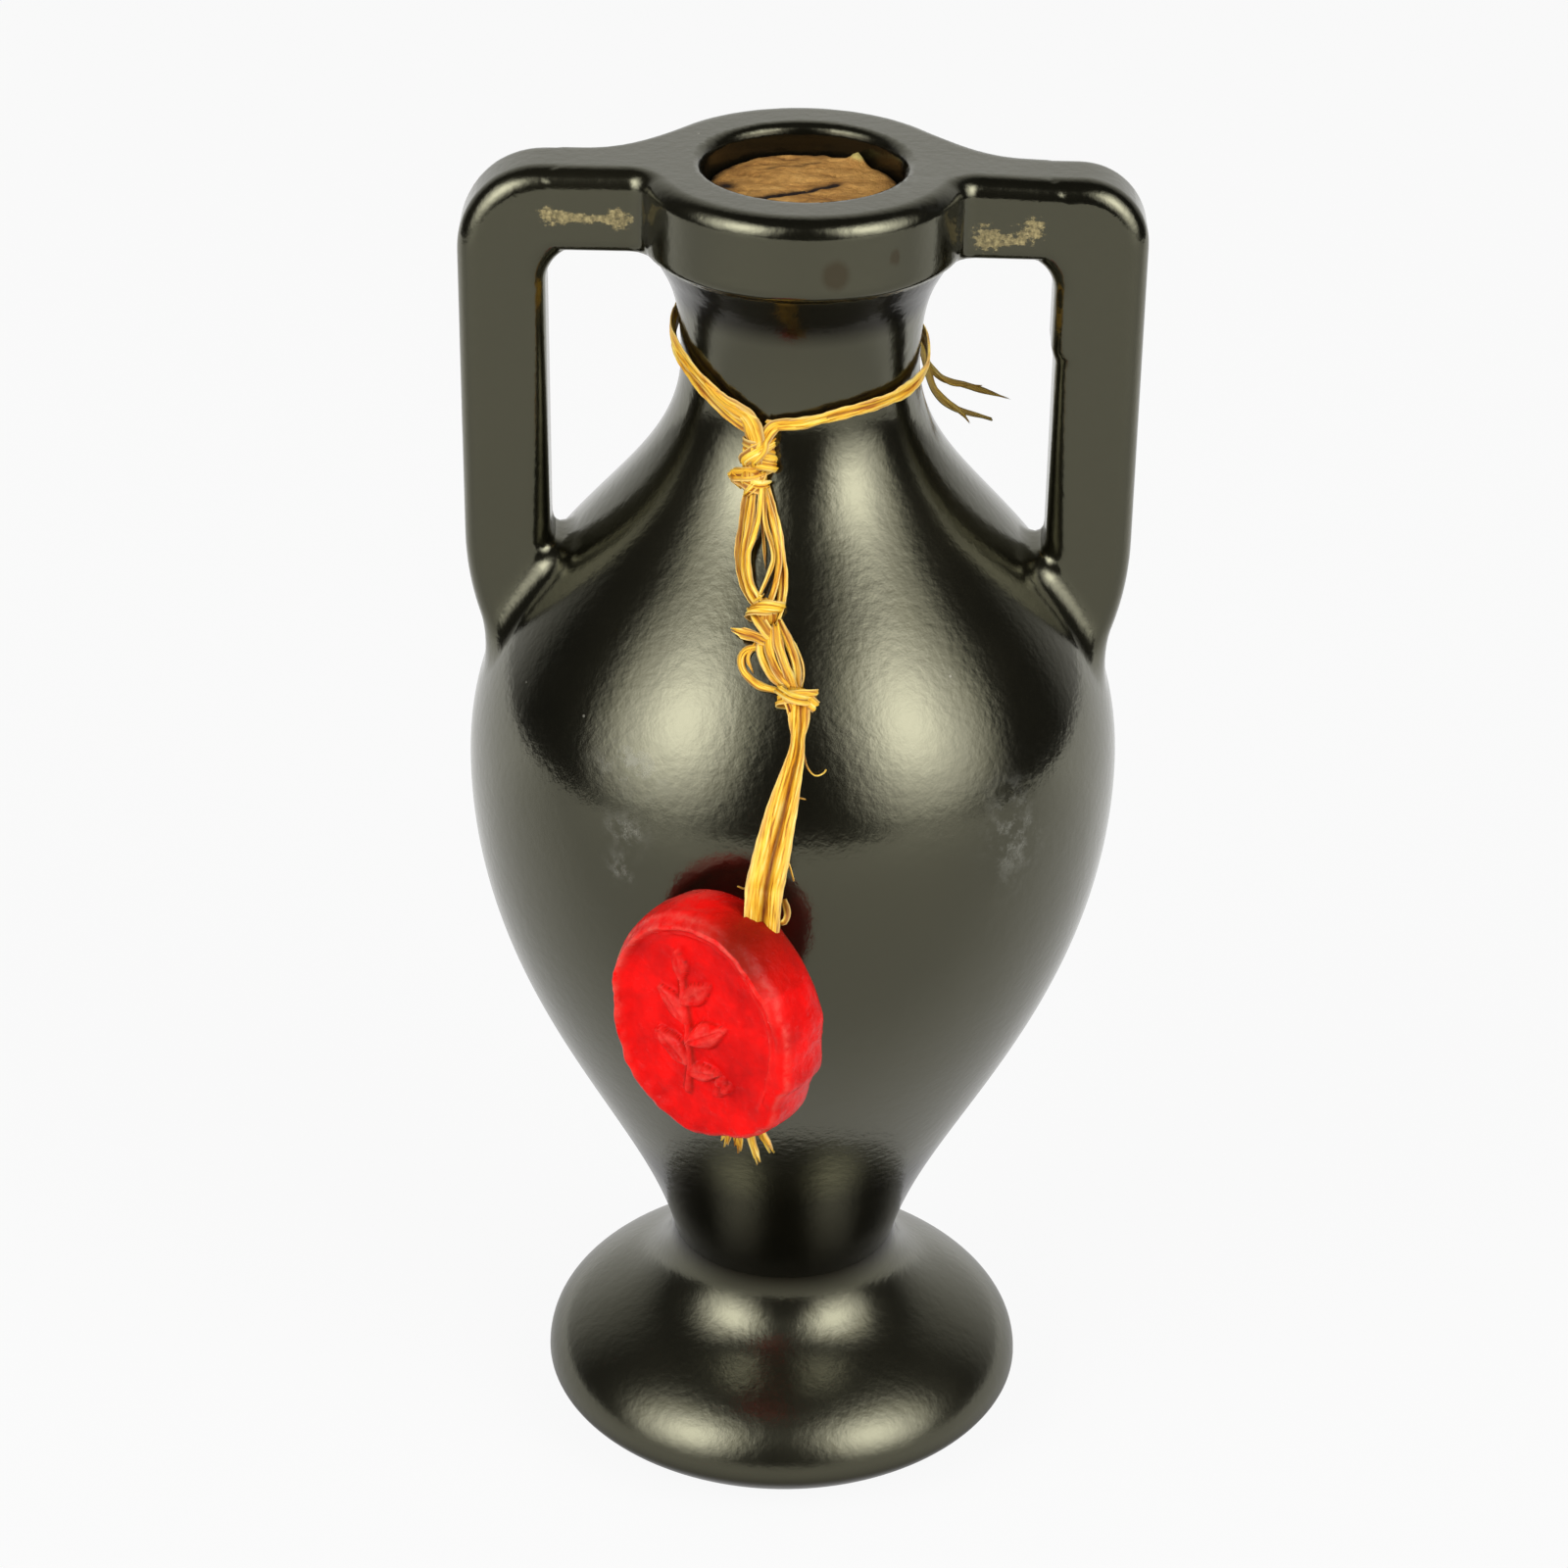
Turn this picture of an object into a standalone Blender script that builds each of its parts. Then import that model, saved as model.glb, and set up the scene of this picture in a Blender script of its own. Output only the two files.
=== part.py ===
"""Small two-handled amphora used as a bud vase, with a cork and a wax seal on a raffia tie.

Frame: origin at the centre of the foot on the table, +Z up, front towards -Y, handles on X.
"""

import math

import bmesh
import bpy
import numpy as np
from mathutils import Matrix, Vector

MM = 0.001

# Ceramic body
HEIGHT = 135.0 * MM          # table to rim top
RIM_R = 14.95 * MM           # rim band, outside
RIM_H = 7.0 * MM             # height of the rim band
RIM_ROUND = 0.9 * MM         # edge rounding of the band
MOUTH_R = 9.6 * MM           # bore at the rim
BORE_END_R = 7.3 * MM        # bore at its lower end, where the taper stops
BORE_DEPTH = 25.0 * MM       # rim top to the end of the taper
NECK_R = 10.65 * MM          # narrowest outside radius of the neck
NECK_Z = 116.6 * MM          # height of that place
BELLY_R = 31.0 * MM
BELLY_Z = 75.2 * MM
WAIST_R = 11.2 * MM          # joint between body and foot
WAIST_Z = 21.2 * MM
WALL = 4.0 * MM              # wall of belly and shoulder
FLOOR_T = 5.0 * MM           # floor of the body above the joint

# Fullness of the turned curves: how far each end tangent reaches
BELLY_RISE = 21.2 * MM       # belly upwards into the shoulder
NECK_SINK = 13.8 * MM        # neck downwards into the shoulder
BELLY_SINK = 23.65 * MM      # belly downwards
WAIST_RUN = (3.9 * MM, 15.55 * MM)
FLARE_RISE = 2.6 * MM        # neck upwards below the rim
FLARE_RUN = 0.4 * MM         # rim underside inwards

# Foot
FOOT_R = 23.95 * MM          # widest radius of the foot
FOOT_EDGE_Z = 5.4 * MM       # height of that place
FOOT_REST_R = 17.8 * MM      # outer radius of the resting ring
FOOT_REST_W = 4.0 * MM       # width of the resting ring
FOOT_ROLL = 1.25 * MM        # how far the edge falls before it tucks under
FOOT_TUCK = (2.25 * MM, 1.76 * MM)
FOOT_STEM = (1.0 * MM, 2.9 * MM)   # how the stem sets off from the joint
FOOT_MID = (4.4 * MM, 7.0 * MM)    # where hollow turns to dome, out and down from the joint
FOOT_FALL = math.radians(33)       # slope there
FOOT_PULL = (5.75 * MM, 3.3 * MM)  # length of the curve's handles there
FOOT_DOME = 4.6 * MM
HOLLOW_H = 13.0 * MM         # hollow under the foot
HOLLOW_R = 7.0 * MM          # radius at its top

# Handles
HANDLE_OUT = BELLY_R + 0.4 * MM   # outer face from the axis, in line with the belly
HANDLE_W = 8.0 * MM          # width of the upright
HANDLE_D = 7.6 * MM          # depth, front to back
HANDLE_DROP = 0.15 * MM      # top face below the rim
BAR_H = 7.3 * MM             # height of the level part
CORNER_OUT_R = 6.0 * MM
CORNER_IN_R = 3.5 * MM
EDGE_R = 2.0 * MM            # rounding along the edges
HEEL_R = 30.0 * MM           # outer curve where the upright turns in to the shoulder
HEEL_H = 12.0 * MM           # height of that curve
HEEL_PAST = 1.4              # the curve runs on past that height, into the body
TOE_R = 2.5 * MM             # fillet between upright and shoulder
TOE_TURN = math.radians(50)  # how far that fillet turns before it reaches the shoulder
ROOT_R = 5.2 * MM            # plan fillet between level part and rim

# Cork
CORK_SINK = 2.6 * MM         # cork top below the rim
CORK_L = 22.0 * MM
CORK_EDGE = 0.5 * MM

# Raffia and wax
RAFFIA_D = 1.2 * MM          # a twisted strip
THIN_D = 0.8 * MM            # a single fibre
LOOP_LIFT = 1.4 * MM         # middle of the loop above the narrowest place
LOOP_TILT = (1.2 * MM, 1.6 * MM)  # rise towards the left and towards the back
LOOP_DIP = 2.2 * MM          # pulled down at the knot
LOOP_DIP_TURN = math.radians(29)  # half the turn over which it is
KNOT_R = 1.4 * MM            # lobe of the neck knot
WRAP_R = 1.3 * MM
LOW_KNOT_R = 1.2 * MM
LOW_KNOT_W = 3.3 * MM        # across the lower knot
FRINGE_D = 0.6 * MM
BAND_T = 0.8 * MM            # folded thickness of the band
BAND_W = 3.3 * MM            # its width inside the wax
BAND_IN = 4.2 * MM           # enters the wax this far right of its middle
BAND_OUT = 2.6 * MM          # and would leave it here
BAND_SHORT = 2.2 * MM        # but ends this far above the lower edge
BAND_BACK = 1.0 * MM         # behind the middle of the wax
SEAL_W = 20.4 * MM
SEAL_H = 24.0 * MM
SEAL_T = 6.8 * MM
SEAL_EDGE = 1.5 * MM         # rounding of its edges
SEAL_RIM = 2.2 * MM          # width of the raised border round the stamped face
SEAL_STAMP = 0.6 * MM        # depth of the stamped face
SEAL_WAVE = (0.012, 0.008)   # unevenness of the outline, three and seven times round
SEAL_AT = Vector((-6.4, -36.4, 67.4)) * MM
SEAL_YAW = math.radians(34)  # face turned to the left

# Knots on the front, as millimetres to the right of the middle and below the narrowest place
KNOT_HIGH = (-3.4, 4.5)
KNOT_LOW = (-4.2, 6.7)
WRAP = (-2.6, 16.4)
LOW_KNOT = (0.1, 22.1)

# Clearances
LUTE = 0.3 * MM              # slip joint between ceramic pieces
CORK_FIT = 0.3 * MM
SEAT = 0.3 * MM              # raffia and wax to what they touch

TURN_STEPS = 48


def bezier(p0, p1, p2, p3, steps):
    """Points of a cubic curve, ends included."""
    found = []
    for i in range(steps + 1):
        t = i / steps
        s = 1 - t
        found.append(tuple(
            s**3 * a + 3 * s * s * t * b + 3 * s * t * t * c + t**3 * d
            for a, b, c, d in zip(p0, p1, p2, p3)
        ))
    return found


def arc(centre, radius, start, end, steps):
    """Points of an arc in a plane, angles in degrees, ends included."""
    angles = [math.radians(start + (end - start) * i / steps) for i in range(steps + 1)]
    return [(centre[0] + radius * math.cos(a), centre[1] + radius * math.sin(a)) for a in angles]


def through(points, steps):
    """A smooth curve through the given points, steps pieces to each span."""
    pts = [Vector(p) for p in points]
    pts = [2 * pts[0] - pts[1], *pts, 2 * pts[-1] - pts[-2]]
    found = [pts[1]]
    for a, b, c, d in zip(pts, pts[1:], pts[2:], pts[3:]):
        for i in range(1, steps + 1):
            t = i / steps
            found.append(0.5 * (2 * b + (c - a) * t + (2 * a - 5 * b + 4 * c - d) * t**2
                                + (3 * b - a - 3 * c + d) * t**3))
    return found


def offset(points, distance):
    """The line moved to its left side by a distance."""
    line = np.array(points)
    run = np.gradient(line, axis=0)
    run /= np.linalg.norm(run, axis=1)[:, None]
    return [tuple(p) for p in line + distance * np.stack([-run[:, 1], run[:, 0]], axis=1)]


# Outside of the body, as radius and height, from the foot joint up to the rim band
LOWER = bezier((WAIST_R, WAIST_Z), (WAIST_R + WAIST_RUN[0], WAIST_Z + WAIST_RUN[1]),
               (BELLY_R, BELLY_Z - BELLY_SINK), (BELLY_R, BELLY_Z), 10)
SHOULDER = bezier((BELLY_R, BELLY_Z), (BELLY_R, BELLY_Z + BELLY_RISE),
                  (NECK_R, NECK_Z - NECK_SINK), (NECK_R, NECK_Z), 12)
RIM_UNDER = (RIM_R - RIM_ROUND, HEIGHT - RIM_H)
FLARE = bezier((NECK_R, NECK_Z), (NECK_R, NECK_Z + FLARE_RISE),
               (RIM_UNDER[0] - FLARE_RUN, RIM_UNDER[1]), RIM_UNDER, 6)
OUTSIDE = LOWER + SHOULDER[1:] + FLARE[1:]


def outer_radius(z):
    return float(np.interp(z, [p[1] for p in OUTSIDE], [p[0] for p in OUTSIDE]))


def shoulder_height(radius):
    """Height where the shoulder has this radius."""
    return float(np.interp(-radius, [-p[0] for p in SHOULDER], [p[1] for p in SHOULDER]))


def bore_radius(z):
    """Radius of the tapered mouth."""
    return MOUTH_R + (BORE_END_R - MOUTH_R) * (HEIGHT - z) / BORE_DEPTH


def on_front(x, drop, lift):
    """Point in front of the body, a drop below the neck, this far off its sloping surface."""
    z = NECK_Z - drop
    slope = (outer_radius(z + MM) - outer_radius(z - MM)) / (2 * MM)
    r = outer_radius(z) + lift * math.hypot(1, slope)
    return Vector((x, -math.sqrt(r * r - x * x), z))


def material(name, colour, roughness):
    found = bpy.data.materials.new(name)
    found.use_nodes = True
    shader = found.node_tree.nodes["Principled BSDF"]
    shader.inputs["Base Color"].default_value = (*colour, 1)
    shader.inputs["Roughness"].default_value = roughness
    shader.inputs["Metallic"].default_value = 0
    return found


def add(name, data, finish, parent=None):
    obj = bpy.data.objects.new(name, data)
    bpy.context.scene.collection.objects.link(obj)
    if finish:
        data.materials.append(finish)
    if parent:
        obj.parent = parent
        obj.matrix_parent_inverse = Matrix.Translation(world_of(parent)).inverted()
    return obj


def world_of(obj):
    """Place of an empty, through its parents, which only move it."""
    return obj.location + (world_of(obj.parent) if obj.parent else Vector())


def pivot(name, place, parent=None):
    """Empty on a joint's axis, which the moving pieces hang on."""
    obj = bpy.data.objects.new(name, None)
    bpy.context.scene.collection.objects.link(obj)
    obj.location = place - (world_of(parent) if parent else Vector())
    obj.parent = parent
    obj.empty_display_size = 5 * MM
    return obj


def smooth(mesh, angle=40):
    mesh.shade_smooth()
    mesh.set_sharp_from_angle(angle=math.radians(angle))


def turned(name, profile, finish, parent=None):
    """Solid of revolution. The profile runs from axis to axis, down its outer side."""
    mesh = bpy.data.meshes.new(name)
    mesh.from_pydata([(r, 0, z) for r, z in profile],
                     [(i, i + 1) for i in range(len(profile) - 1)], [])
    obj = add(name, mesh, finish, parent)
    screw = obj.modifiers.new("turn", "SCREW")
    screw.steps = TURN_STEPS
    screw.render_steps = TURN_STEPS
    screw.use_merge_vertices = True
    screw.merge_threshold = 0.00001
    screw.use_smooth_shade = True
    return obj


def loft(name, rings, finish, parent=None):
    """Closed solid through rings of equally many points."""
    bm = bmesh.new()
    rows = [[bm.verts.new(p) for p in ring] for ring in rings]
    count = len(rows[0])
    for low, high in zip(rows, rows[1:]):
        for k in range(count):
            bm.faces.new((low[k], low[(k + 1) % count], high[(k + 1) % count], high[k]))
    bm.faces.new(reversed(rows[0]))
    bm.faces.new(rows[-1])
    bmesh.ops.recalc_face_normals(bm, faces=bm.faces)
    mesh = bpy.data.meshes.new(name)
    bm.to_mesh(mesh)
    bm.free()
    smooth(mesh)
    return add(name, mesh, finish, parent)


def rounded(half_u, half_v, corner, steps=3):
    """Outline of a rectangle with round corners, about its centre."""
    corner = min(corner, 0.98 * half_u, 0.98 * half_v)
    found = []
    for su, sv, start in ((1, 1, 0), (-1, 1, 90), (-1, -1, 180), (1, -1, 270)):
        centre = (su * (half_u - corner), sv * (half_v - corner))
        found += arc(centre, corner, start, start + 90, steps)
    return found


def cord(name, points, diameter, finish, parent, steps=3, taper=1.0):
    """Tube along a smooth route; taper is the far end's share of the diameter."""
    data = bpy.data.curves.new(name, "CURVE")
    data.dimensions = "3D"
    data.bevel_depth = diameter / 2
    data.bevel_resolution = 2
    data.use_fill_caps = True
    route = through(points, steps)
    spline = data.splines.new("POLY")
    spline.points.add(len(route) - 1)
    for i, (point, place) in enumerate(zip(spline.points, route)):
        point.co = (*place, 1)
        point.radius = 1 + (taper - 1) * i / (len(route) - 1)
    spline.use_smooth = True
    return add(name, data, finish, parent)


def lump(name, centre, radii, finish, parent):
    """Knot as a round lump."""
    bm = bmesh.new()
    bmesh.ops.create_uvsphere(bm, u_segments=16, v_segments=10, radius=1)
    bmesh.ops.scale(bm, vec=radii, verts=bm.verts)
    bmesh.ops.translate(bm, vec=centre, verts=bm.verts)
    mesh = bpy.data.meshes.new(name)
    bm.to_mesh(mesh)
    bm.free()
    smooth(mesh, 80)
    return add(name, mesh, finish, parent)


def vessel_profile():
    """Floor, cavity, tapered mouth, rim, then the outside down to the foot joint."""
    floor_z = WAIST_Z + FLOOR_T
    throat_z = HEIGHT - BORE_DEPTH
    cavity = [p for p in offset(LOWER + SHOULDER[1:], WALL)
              if p[0] > BORE_END_R and floor_z < p[1] < throat_z]
    band_r = RIM_R - RIM_ROUND
    lip = arc((MOUTH_R + RIM_ROUND, HEIGHT - RIM_ROUND), RIM_ROUND, 180, 90, 3)
    top_edge = arc((band_r, HEIGHT - RIM_ROUND), RIM_ROUND, 90, 0, 4)
    low_edge = arc((band_r, HEIGHT - RIM_H + RIM_ROUND), RIM_ROUND, 0, -90, 3)
    joint_z = WAIST_Z + LUTE / 2
    outside = [p for p in reversed(OUTSIDE[:-1]) if p[1] > joint_z]
    return ([(0, floor_z), (cavity[0][0] - LUTE, floor_z)] + cavity
            + [(BORE_END_R, throat_z)] + lip + top_edge + low_edge + outside
            + [(WAIST_R, joint_z), (0, joint_z)])


def foot_profile():
    """Joint face, trumpet flare, rolled edge, resting ring and the hollow below."""
    joint_z = WAIST_Z - LUTE / 2
    mid = (WAIST_R + FOOT_MID[0], WAIST_Z - FOOT_MID[1])
    out, down = math.cos(FOOT_FALL), math.sin(FOOT_FALL)
    flare = bezier((WAIST_R, joint_z), (WAIST_R + FOOT_STEM[0], joint_z - FOOT_STEM[1]),
                   (mid[0] - FOOT_PULL[0] * out, mid[1] + FOOT_PULL[0] * down), mid, 7)
    flare += bezier(mid, (mid[0] + FOOT_PULL[1] * out, mid[1] - FOOT_PULL[1] * down),
                    (FOOT_R, FOOT_EDGE_Z + FOOT_DOME), (FOOT_R, FOOT_EDGE_Z), 6)[1:]
    roll = bezier((FOOT_R, FOOT_EDGE_Z), (FOOT_R, FOOT_EDGE_Z - FOOT_ROLL),
                  (FOOT_REST_R + FOOT_TUCK[0], FOOT_TUCK[1]), (FOOT_REST_R, 0), 6)
    ring_in = FOOT_REST_R - FOOT_REST_W
    hollow = bezier((ring_in, 0), (ring_in, HOLLOW_H / 2), (HOLLOW_R, HOLLOW_H / 2),
                    (HOLLOW_R, HOLLOW_H), 6)
    return [(0, joint_z)] + flare + roll[1:] + hollow + [(0, HOLLOW_H)]


def cork_profile():
    top = HEIGHT - CORK_SINK
    low = top - CORK_L
    top_r = bore_radius(top) - CORK_FIT
    low_r = bore_radius(low) - CORK_FIT
    return [(0, top), (top_r - CORK_EDGE, top), (top_r, top - CORK_EDGE),
            (low_r, low + CORK_EDGE), (low_r - CORK_EDGE, low), (0, low)]


def root_flare(x):
    """Extra depth of the level part at its back, by a plan fillet that touches its side and the rim."""
    start = math.sqrt((RIM_R + ROOT_R) ** 2 - (HANDLE_D / 2 + ROOT_R) ** 2)
    reach = min(max(0.0, start - x), 0.95 * ROOT_R)
    return ROOT_R - math.sqrt(ROOT_R**2 - reach**2)


def handle_rings(side):
    """Sections from inside the rim, out along the level part, down and into the shoulder."""
    x_in = HANDLE_OUT - HANDLE_W
    top = HEIGHT - HANDLE_DROP
    under = top - BAR_H
    inner_corner = (x_in - CORNER_IN_R, under - CORNER_IN_R)
    outer_corner = (HANDLE_OUT - CORNER_OUT_R, top - CORNER_OUT_R)

    # The inner face turns in a little where it meets the shoulder
    toe_x = x_in - TOE_R * (1 - math.cos(TOE_TURN))
    toe_centre = (x_in - TOE_R, shoulder_height(toe_x) + TOE_R * math.sin(TOE_TURN))
    heel_centre = (HANDLE_OUT - HEEL_R, shoulder_height(HANDLE_OUT - HANDLE_W / 3) + HEEL_H)
    heel_sweep = -math.degrees(math.asin(HEEL_PAST * HEEL_H / HEEL_R))

    pairs = []
    for i in range(10):
        x = NECK_R + (inner_corner[0] - NECK_R) * i / 9
        pairs.append(((x, under), (x, top)))
    pairs += zip(arc(inner_corner, CORNER_IN_R, 90, 0, 6), arc(outer_corner, CORNER_OUT_R, 90, 0, 6))
    for i in range(1, 5):
        t = i / 5
        pairs.append(((x_in, inner_corner[1] + (toe_centre[1] - inner_corner[1]) * t),
                      (HANDLE_OUT, outer_corner[1] + (heel_centre[1] - outer_corner[1]) * t)))
    pairs += zip(arc(toe_centre, TOE_R, 0, -math.degrees(TOE_TURN), 4),
                 arc(heel_centre, HEEL_R, 0, heel_sweep, 4))
    toe_end, heel_end = pairs[-1]
    pairs.append(((toe_end[0] - WALL, toe_end[1] - WALL), (heel_end[0] - WALL, heel_end[1])))

    rings = []
    for inner, outer in pairs:
        middle = ((inner[0] + outer[0]) / 2, (inner[1] + outer[1]) / 2)
        along = ((outer[0] - inner[0]) / 2, (outer[1] - inner[1]) / 2)
        half = math.hypot(*along)
        flare = root_flare(inner[0]) if inner[1] == under else 0
        outline = rounded(half, (HANDLE_D + flare) / 2, EDGE_R)
        rings.append([(side * (middle[0] + along[0] * u / half), v + flare / 2,
                       middle[1] + along[1] * u / half) for u, v in outline])
    return rings


def seal_rings():
    """Rings from the back of the wax over its edge to the stamped face, in the seal's own frame."""
    half_w, half_h, half_t = SEAL_W / 2, SEAL_H / 2, SEAL_T / 2
    middle = (half_w - SEAL_EDGE, half_t - SEAL_EDGE)
    steps = arc((middle[0], -middle[1]), SEAL_EDGE, -90, 0, 4) + arc(middle, SEAL_EDGE, 0, 90, 4)
    steps += [(half_w - SEAL_RIM, half_t), (half_w - SEAL_RIM - SEAL_STAMP / 2, half_t - SEAL_STAMP)]
    rings = []
    for reach, out in steps:
        inset = half_w - reach
        ring = []
        for k in range(40):
            a = 2 * math.pi * k / 40
            wave = 1 + SEAL_WAVE[0] * math.sin(3 * a + 0.6) + SEAL_WAVE[1] * math.sin(7 * a)
            ring.append(((half_w * wave - inset) * math.cos(a), out,
                         (half_h * wave - inset) * math.sin(a)))
        rings.append(ring)
    return rings


def seal_point(u, v, out=0.0):
    """Point of the seal's own frame: right, up and out of its face."""
    right = Vector((math.cos(SEAL_YAW), -math.sin(SEAL_YAW), 0))
    face = Vector((-math.sin(SEAL_YAW), -math.cos(SEAL_YAW), 0))
    return SEAL_AT + u * right + v * Vector((0, 0, 1)) + out * face


def band_rings(top, clearance=0.0):
    """The band from the lower knot, opening out like a fan, and on through the wax.

    With a clearance it is only the channel in the wax that the band lies in.
    """
    # Place to the right of the middle, share of the fall from knot to wax, and width
    stations = [(0.5, 0.085, 2.3), (0.4, 0.17, 0.9), (0.3, 0.26, 1.6), (-0.5, 0.45, 2.4),
                (-1.4, 0.68, 3.1), (-2.2, 0.88, 3.3)]
    reach = SEAL_H / 2 + 3 * (SEAT + clearance)
    rings = []
    if not clearance:
        fall = seal_point(BAND_IN, reach, -BAND_BACK) - top
        thick = fall.cross(Vector((1, 0, 0))).normalized()
        for x, share, width in stations:
            middle = top + fall * share
            middle.x = x * MM
            rings.append([middle + Vector((u, 0, 0)) + thick * v
                          for u, v in rounded(width * MM / 2, BAND_T / 2, BAND_T / 2)])
    outline = rounded(BAND_W / 2 + clearance, BAND_T / 2 + clearance, BAND_T / 2 + clearance)
    end = 2 * reach if clearance else 2 * reach - BAND_SHORT
    for i in range(4):
        share = i / 3
        side = BAND_IN + (BAND_OUT - BAND_IN) * share
        rings.append([seal_point(side + u, reach - end * share, v - BAND_BACK) for u, v in outline])
    return rings


for old in list(bpy.data.objects):
    bpy.data.objects.remove(old, do_unlink=True)

GLAZE = material("black_glaze", (0.014, 0.014, 0.012), 0.28)
CORK = material("cork", (0.42, 0.22, 0.08), 0.85)
RAFFIA = material("raffia", (0.70, 0.38, 0.09), 0.6)
WAX = material("sealing_wax", (0.62, 0.02, 0.015), 0.35)

turned("vessel_body", vessel_profile(), GLAZE)
turned("foot", foot_profile(), GLAZE)

# The handles' ends follow the body's outside, a slip joint away
seat_line = [(RIM_R + LUTE, HEIGHT + LUTE), (RIM_R + LUTE, HEIGHT - RIM_H - LUTE)]
seat_line += [p for p in reversed(offset(OUTSIDE, -LUTE)) if p[1] < HEIGHT - RIM_H - LUTE]
seat = turned("handle_seat", [(0, HEIGHT + LUTE)] + seat_line + [(0, seat_line[-1][1])], None)
seat.hide_render = True
seat.display_type = "WIRE"
for name, side in (("handle_left", -1), ("handle_right", 1)):
    handle = loft(name, handle_rings(side), GLAZE)
    trim = handle.modifiers.new("seat", "BOOLEAN")
    trim.operation = "DIFFERENCE"
    trim.object = seat

cork = turned("cork", [(r, z - HEIGHT) for r, z in cork_profile()], CORK)
cork.location.z = HEIGHT

# Joint axes
knot_low = on_front(KNOT_LOW[0] * MM, KNOT_LOW[1] * MM, KNOT_R + SEAT)
knot_high = on_front(KNOT_HIGH[0] * MM, KNOT_HIGH[1] * MM, KNOT_R + SEAT)
low_knot = on_front(LOW_KNOT[0] * MM, LOW_KNOT[1] * MM, LOW_KNOT_R + SEAT)
tie = pivot("tie_axis", Vector((0, 0, NECK_Z)))
pendant = pivot("pendant_axis", knot_low, tie)
hanger = pivot("seal_axis", low_knot, pendant)

# Loop round the neck, lower at the front where the knot pulls it down
loop = []
knot_turn = math.atan2(knot_high.y, knot_high.x)
loop_gap = 0.75 * RAFFIA_D / NECK_R
for i in range(13):
    turn = loop_gap + (2 * math.pi - 2 * loop_gap) * i / 12
    a = knot_turn + turn
    dip = LOOP_DIP * math.exp(-((min(turn, 2 * math.pi - turn) / LOOP_DIP_TURN) ** 2))
    z = NECK_Z + LOOP_LIFT - LOOP_TILT[0] * math.cos(a) + LOOP_TILT[1] * math.sin(a) - dip
    r = outer_radius(z + RAFFIA_D / 2) + RAFFIA_D / 2 + SEAT
    loop.append((r * math.cos(a), r * math.sin(a), z))
cord("neck_loop", loop, RAFFIA_D, RAFFIA, tie, steps=3)

# Loose end behind the neck
cord("tail_long", [Vector(p) * MM + Vector((0, 0, NECK_Z)) for p in (
    (10.1, 8.15, 1.0), (11.4, 7.5, -2.6), (12.6, 6.8, -6.2), (14.6, 6.6, -8.2), (17.4, 6.6, -9.0))],
    THIN_D, RAFFIA, tie, taper=0.6)
cord("tail_short", [Vector(p) * MM + Vector((0, 0, NECK_Z)) for p in (
    (13.2, 7.3, -5.3), (15.5, 7.2, -5.9), (19.2, 7.0, -7.1))], THIN_D, RAFFIA, tie, taper=0.5)

# Neck knot of two lobes
axis = knot_high - knot_low
rings = []
for i in range(13):
    s = -1 + 2 * i / 12
    along = axis * (s / 2) + axis.normalized() * KNOT_R * s
    lobe = math.sqrt(max(0.03, 1 - abs(s) ** 5)) * (1 - 0.16 * math.exp(-((s / 0.2) ** 2)))
    sideways = axis.cross(Vector((0, 1, 0))).normalized()
    other = axis.cross(sideways).normalized()
    rings.append([(knot_low + knot_high) / 2 + along
                  + KNOT_R * lobe * (sideways * math.cos(a) + other * math.sin(a))
                  for a in (2 * math.pi * k / 14 for k in range(14))])
loft("neck_knot", rings, RAFFIA, tie)

# Pendant: the open eye, its wrap, the strips below and the lower knot
LAY = RAFFIA_D / 2 + SEAT


def front_route(points, lift=LAY):
    return [on_front(x * MM, drop * MM, lift) for x, drop in points]


cord("strand_left", front_route(((-4.8, 8.7), (-5.1, 10.6), (-5.2, 12.6), (-4.8, 14.1), (-4.0, 14.9))),
     RAFFIA_D, RAFFIA, pendant)
cord("strand_right", front_route(((-3.2, 8.7), (-2.2, 10.6), (-1.5, 12.6), (-1.3, 14.1), (-1.5, 14.9))),
     RAFFIA_D, RAFFIA, pendant)
lump("cross_wrap", on_front(WRAP[0] * MM, WRAP[1] * MM, WRAP_R + SEAT), (WRAP_R,) * 3, RAFFIA, pendant)
cord("wrap_stub", front_route(((-4.3, 17.1), (-4.8, 17.1), (-5.4, 16.9)), WRAP_R), THIN_D, RAFFIA,
     pendant, taper=0.6)
cord("braid_left", front_route(((-2.8, 18.3), (-2.4, 19.4), (-1.0, 20.4))), RAFFIA_D, RAFFIA, pendant)
cord("braid_right", front_route(((-1.2, 17.7), (-0.1, 18.9), (0.5, 20.4))), RAFFIA_D, RAFFIA, pendant)
cord("side_loop", front_route(((-4.2, 18.5), (-4.8, 19.3), (-4.8, 20.4), (-3.6, 21.4), (-2.1, 21.9))),
     THIN_D, RAFFIA, pendant)
lump("lower_knot", low_knot, (LOW_KNOT_W / 2, LOW_KNOT_R, LOW_KNOT_R), RAFFIA, pendant)
cord("knot_stub", [low_knot + Vector(p) * MM for p in ((2.0, -0.2, 0), (2.4, -0.5, -0.2), (2.8, -0.9, -0.5))],
     THIN_D, RAFFIA, pendant, taper=0.6)

# Seal: wax pressed round the band, with the band's frayed ends below
loft("fan_band", band_rings(low_knot), RAFFIA, hanger)
seal = loft("wax_seal", seal_rings(), WAX, hanger)
seal.location = SEAL_AT
seal.rotation_euler.z = -SEAL_YAW + math.pi
channel = loft("band_channel", band_rings(low_knot, SEAT), None)
channel.hide_render = True
channel.display_type = "WIRE"
cut = seal.modifiers.new("band_channel", "BOOLEAN")
cut.operation = "DIFFERENCE"
cut.object = channel
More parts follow.
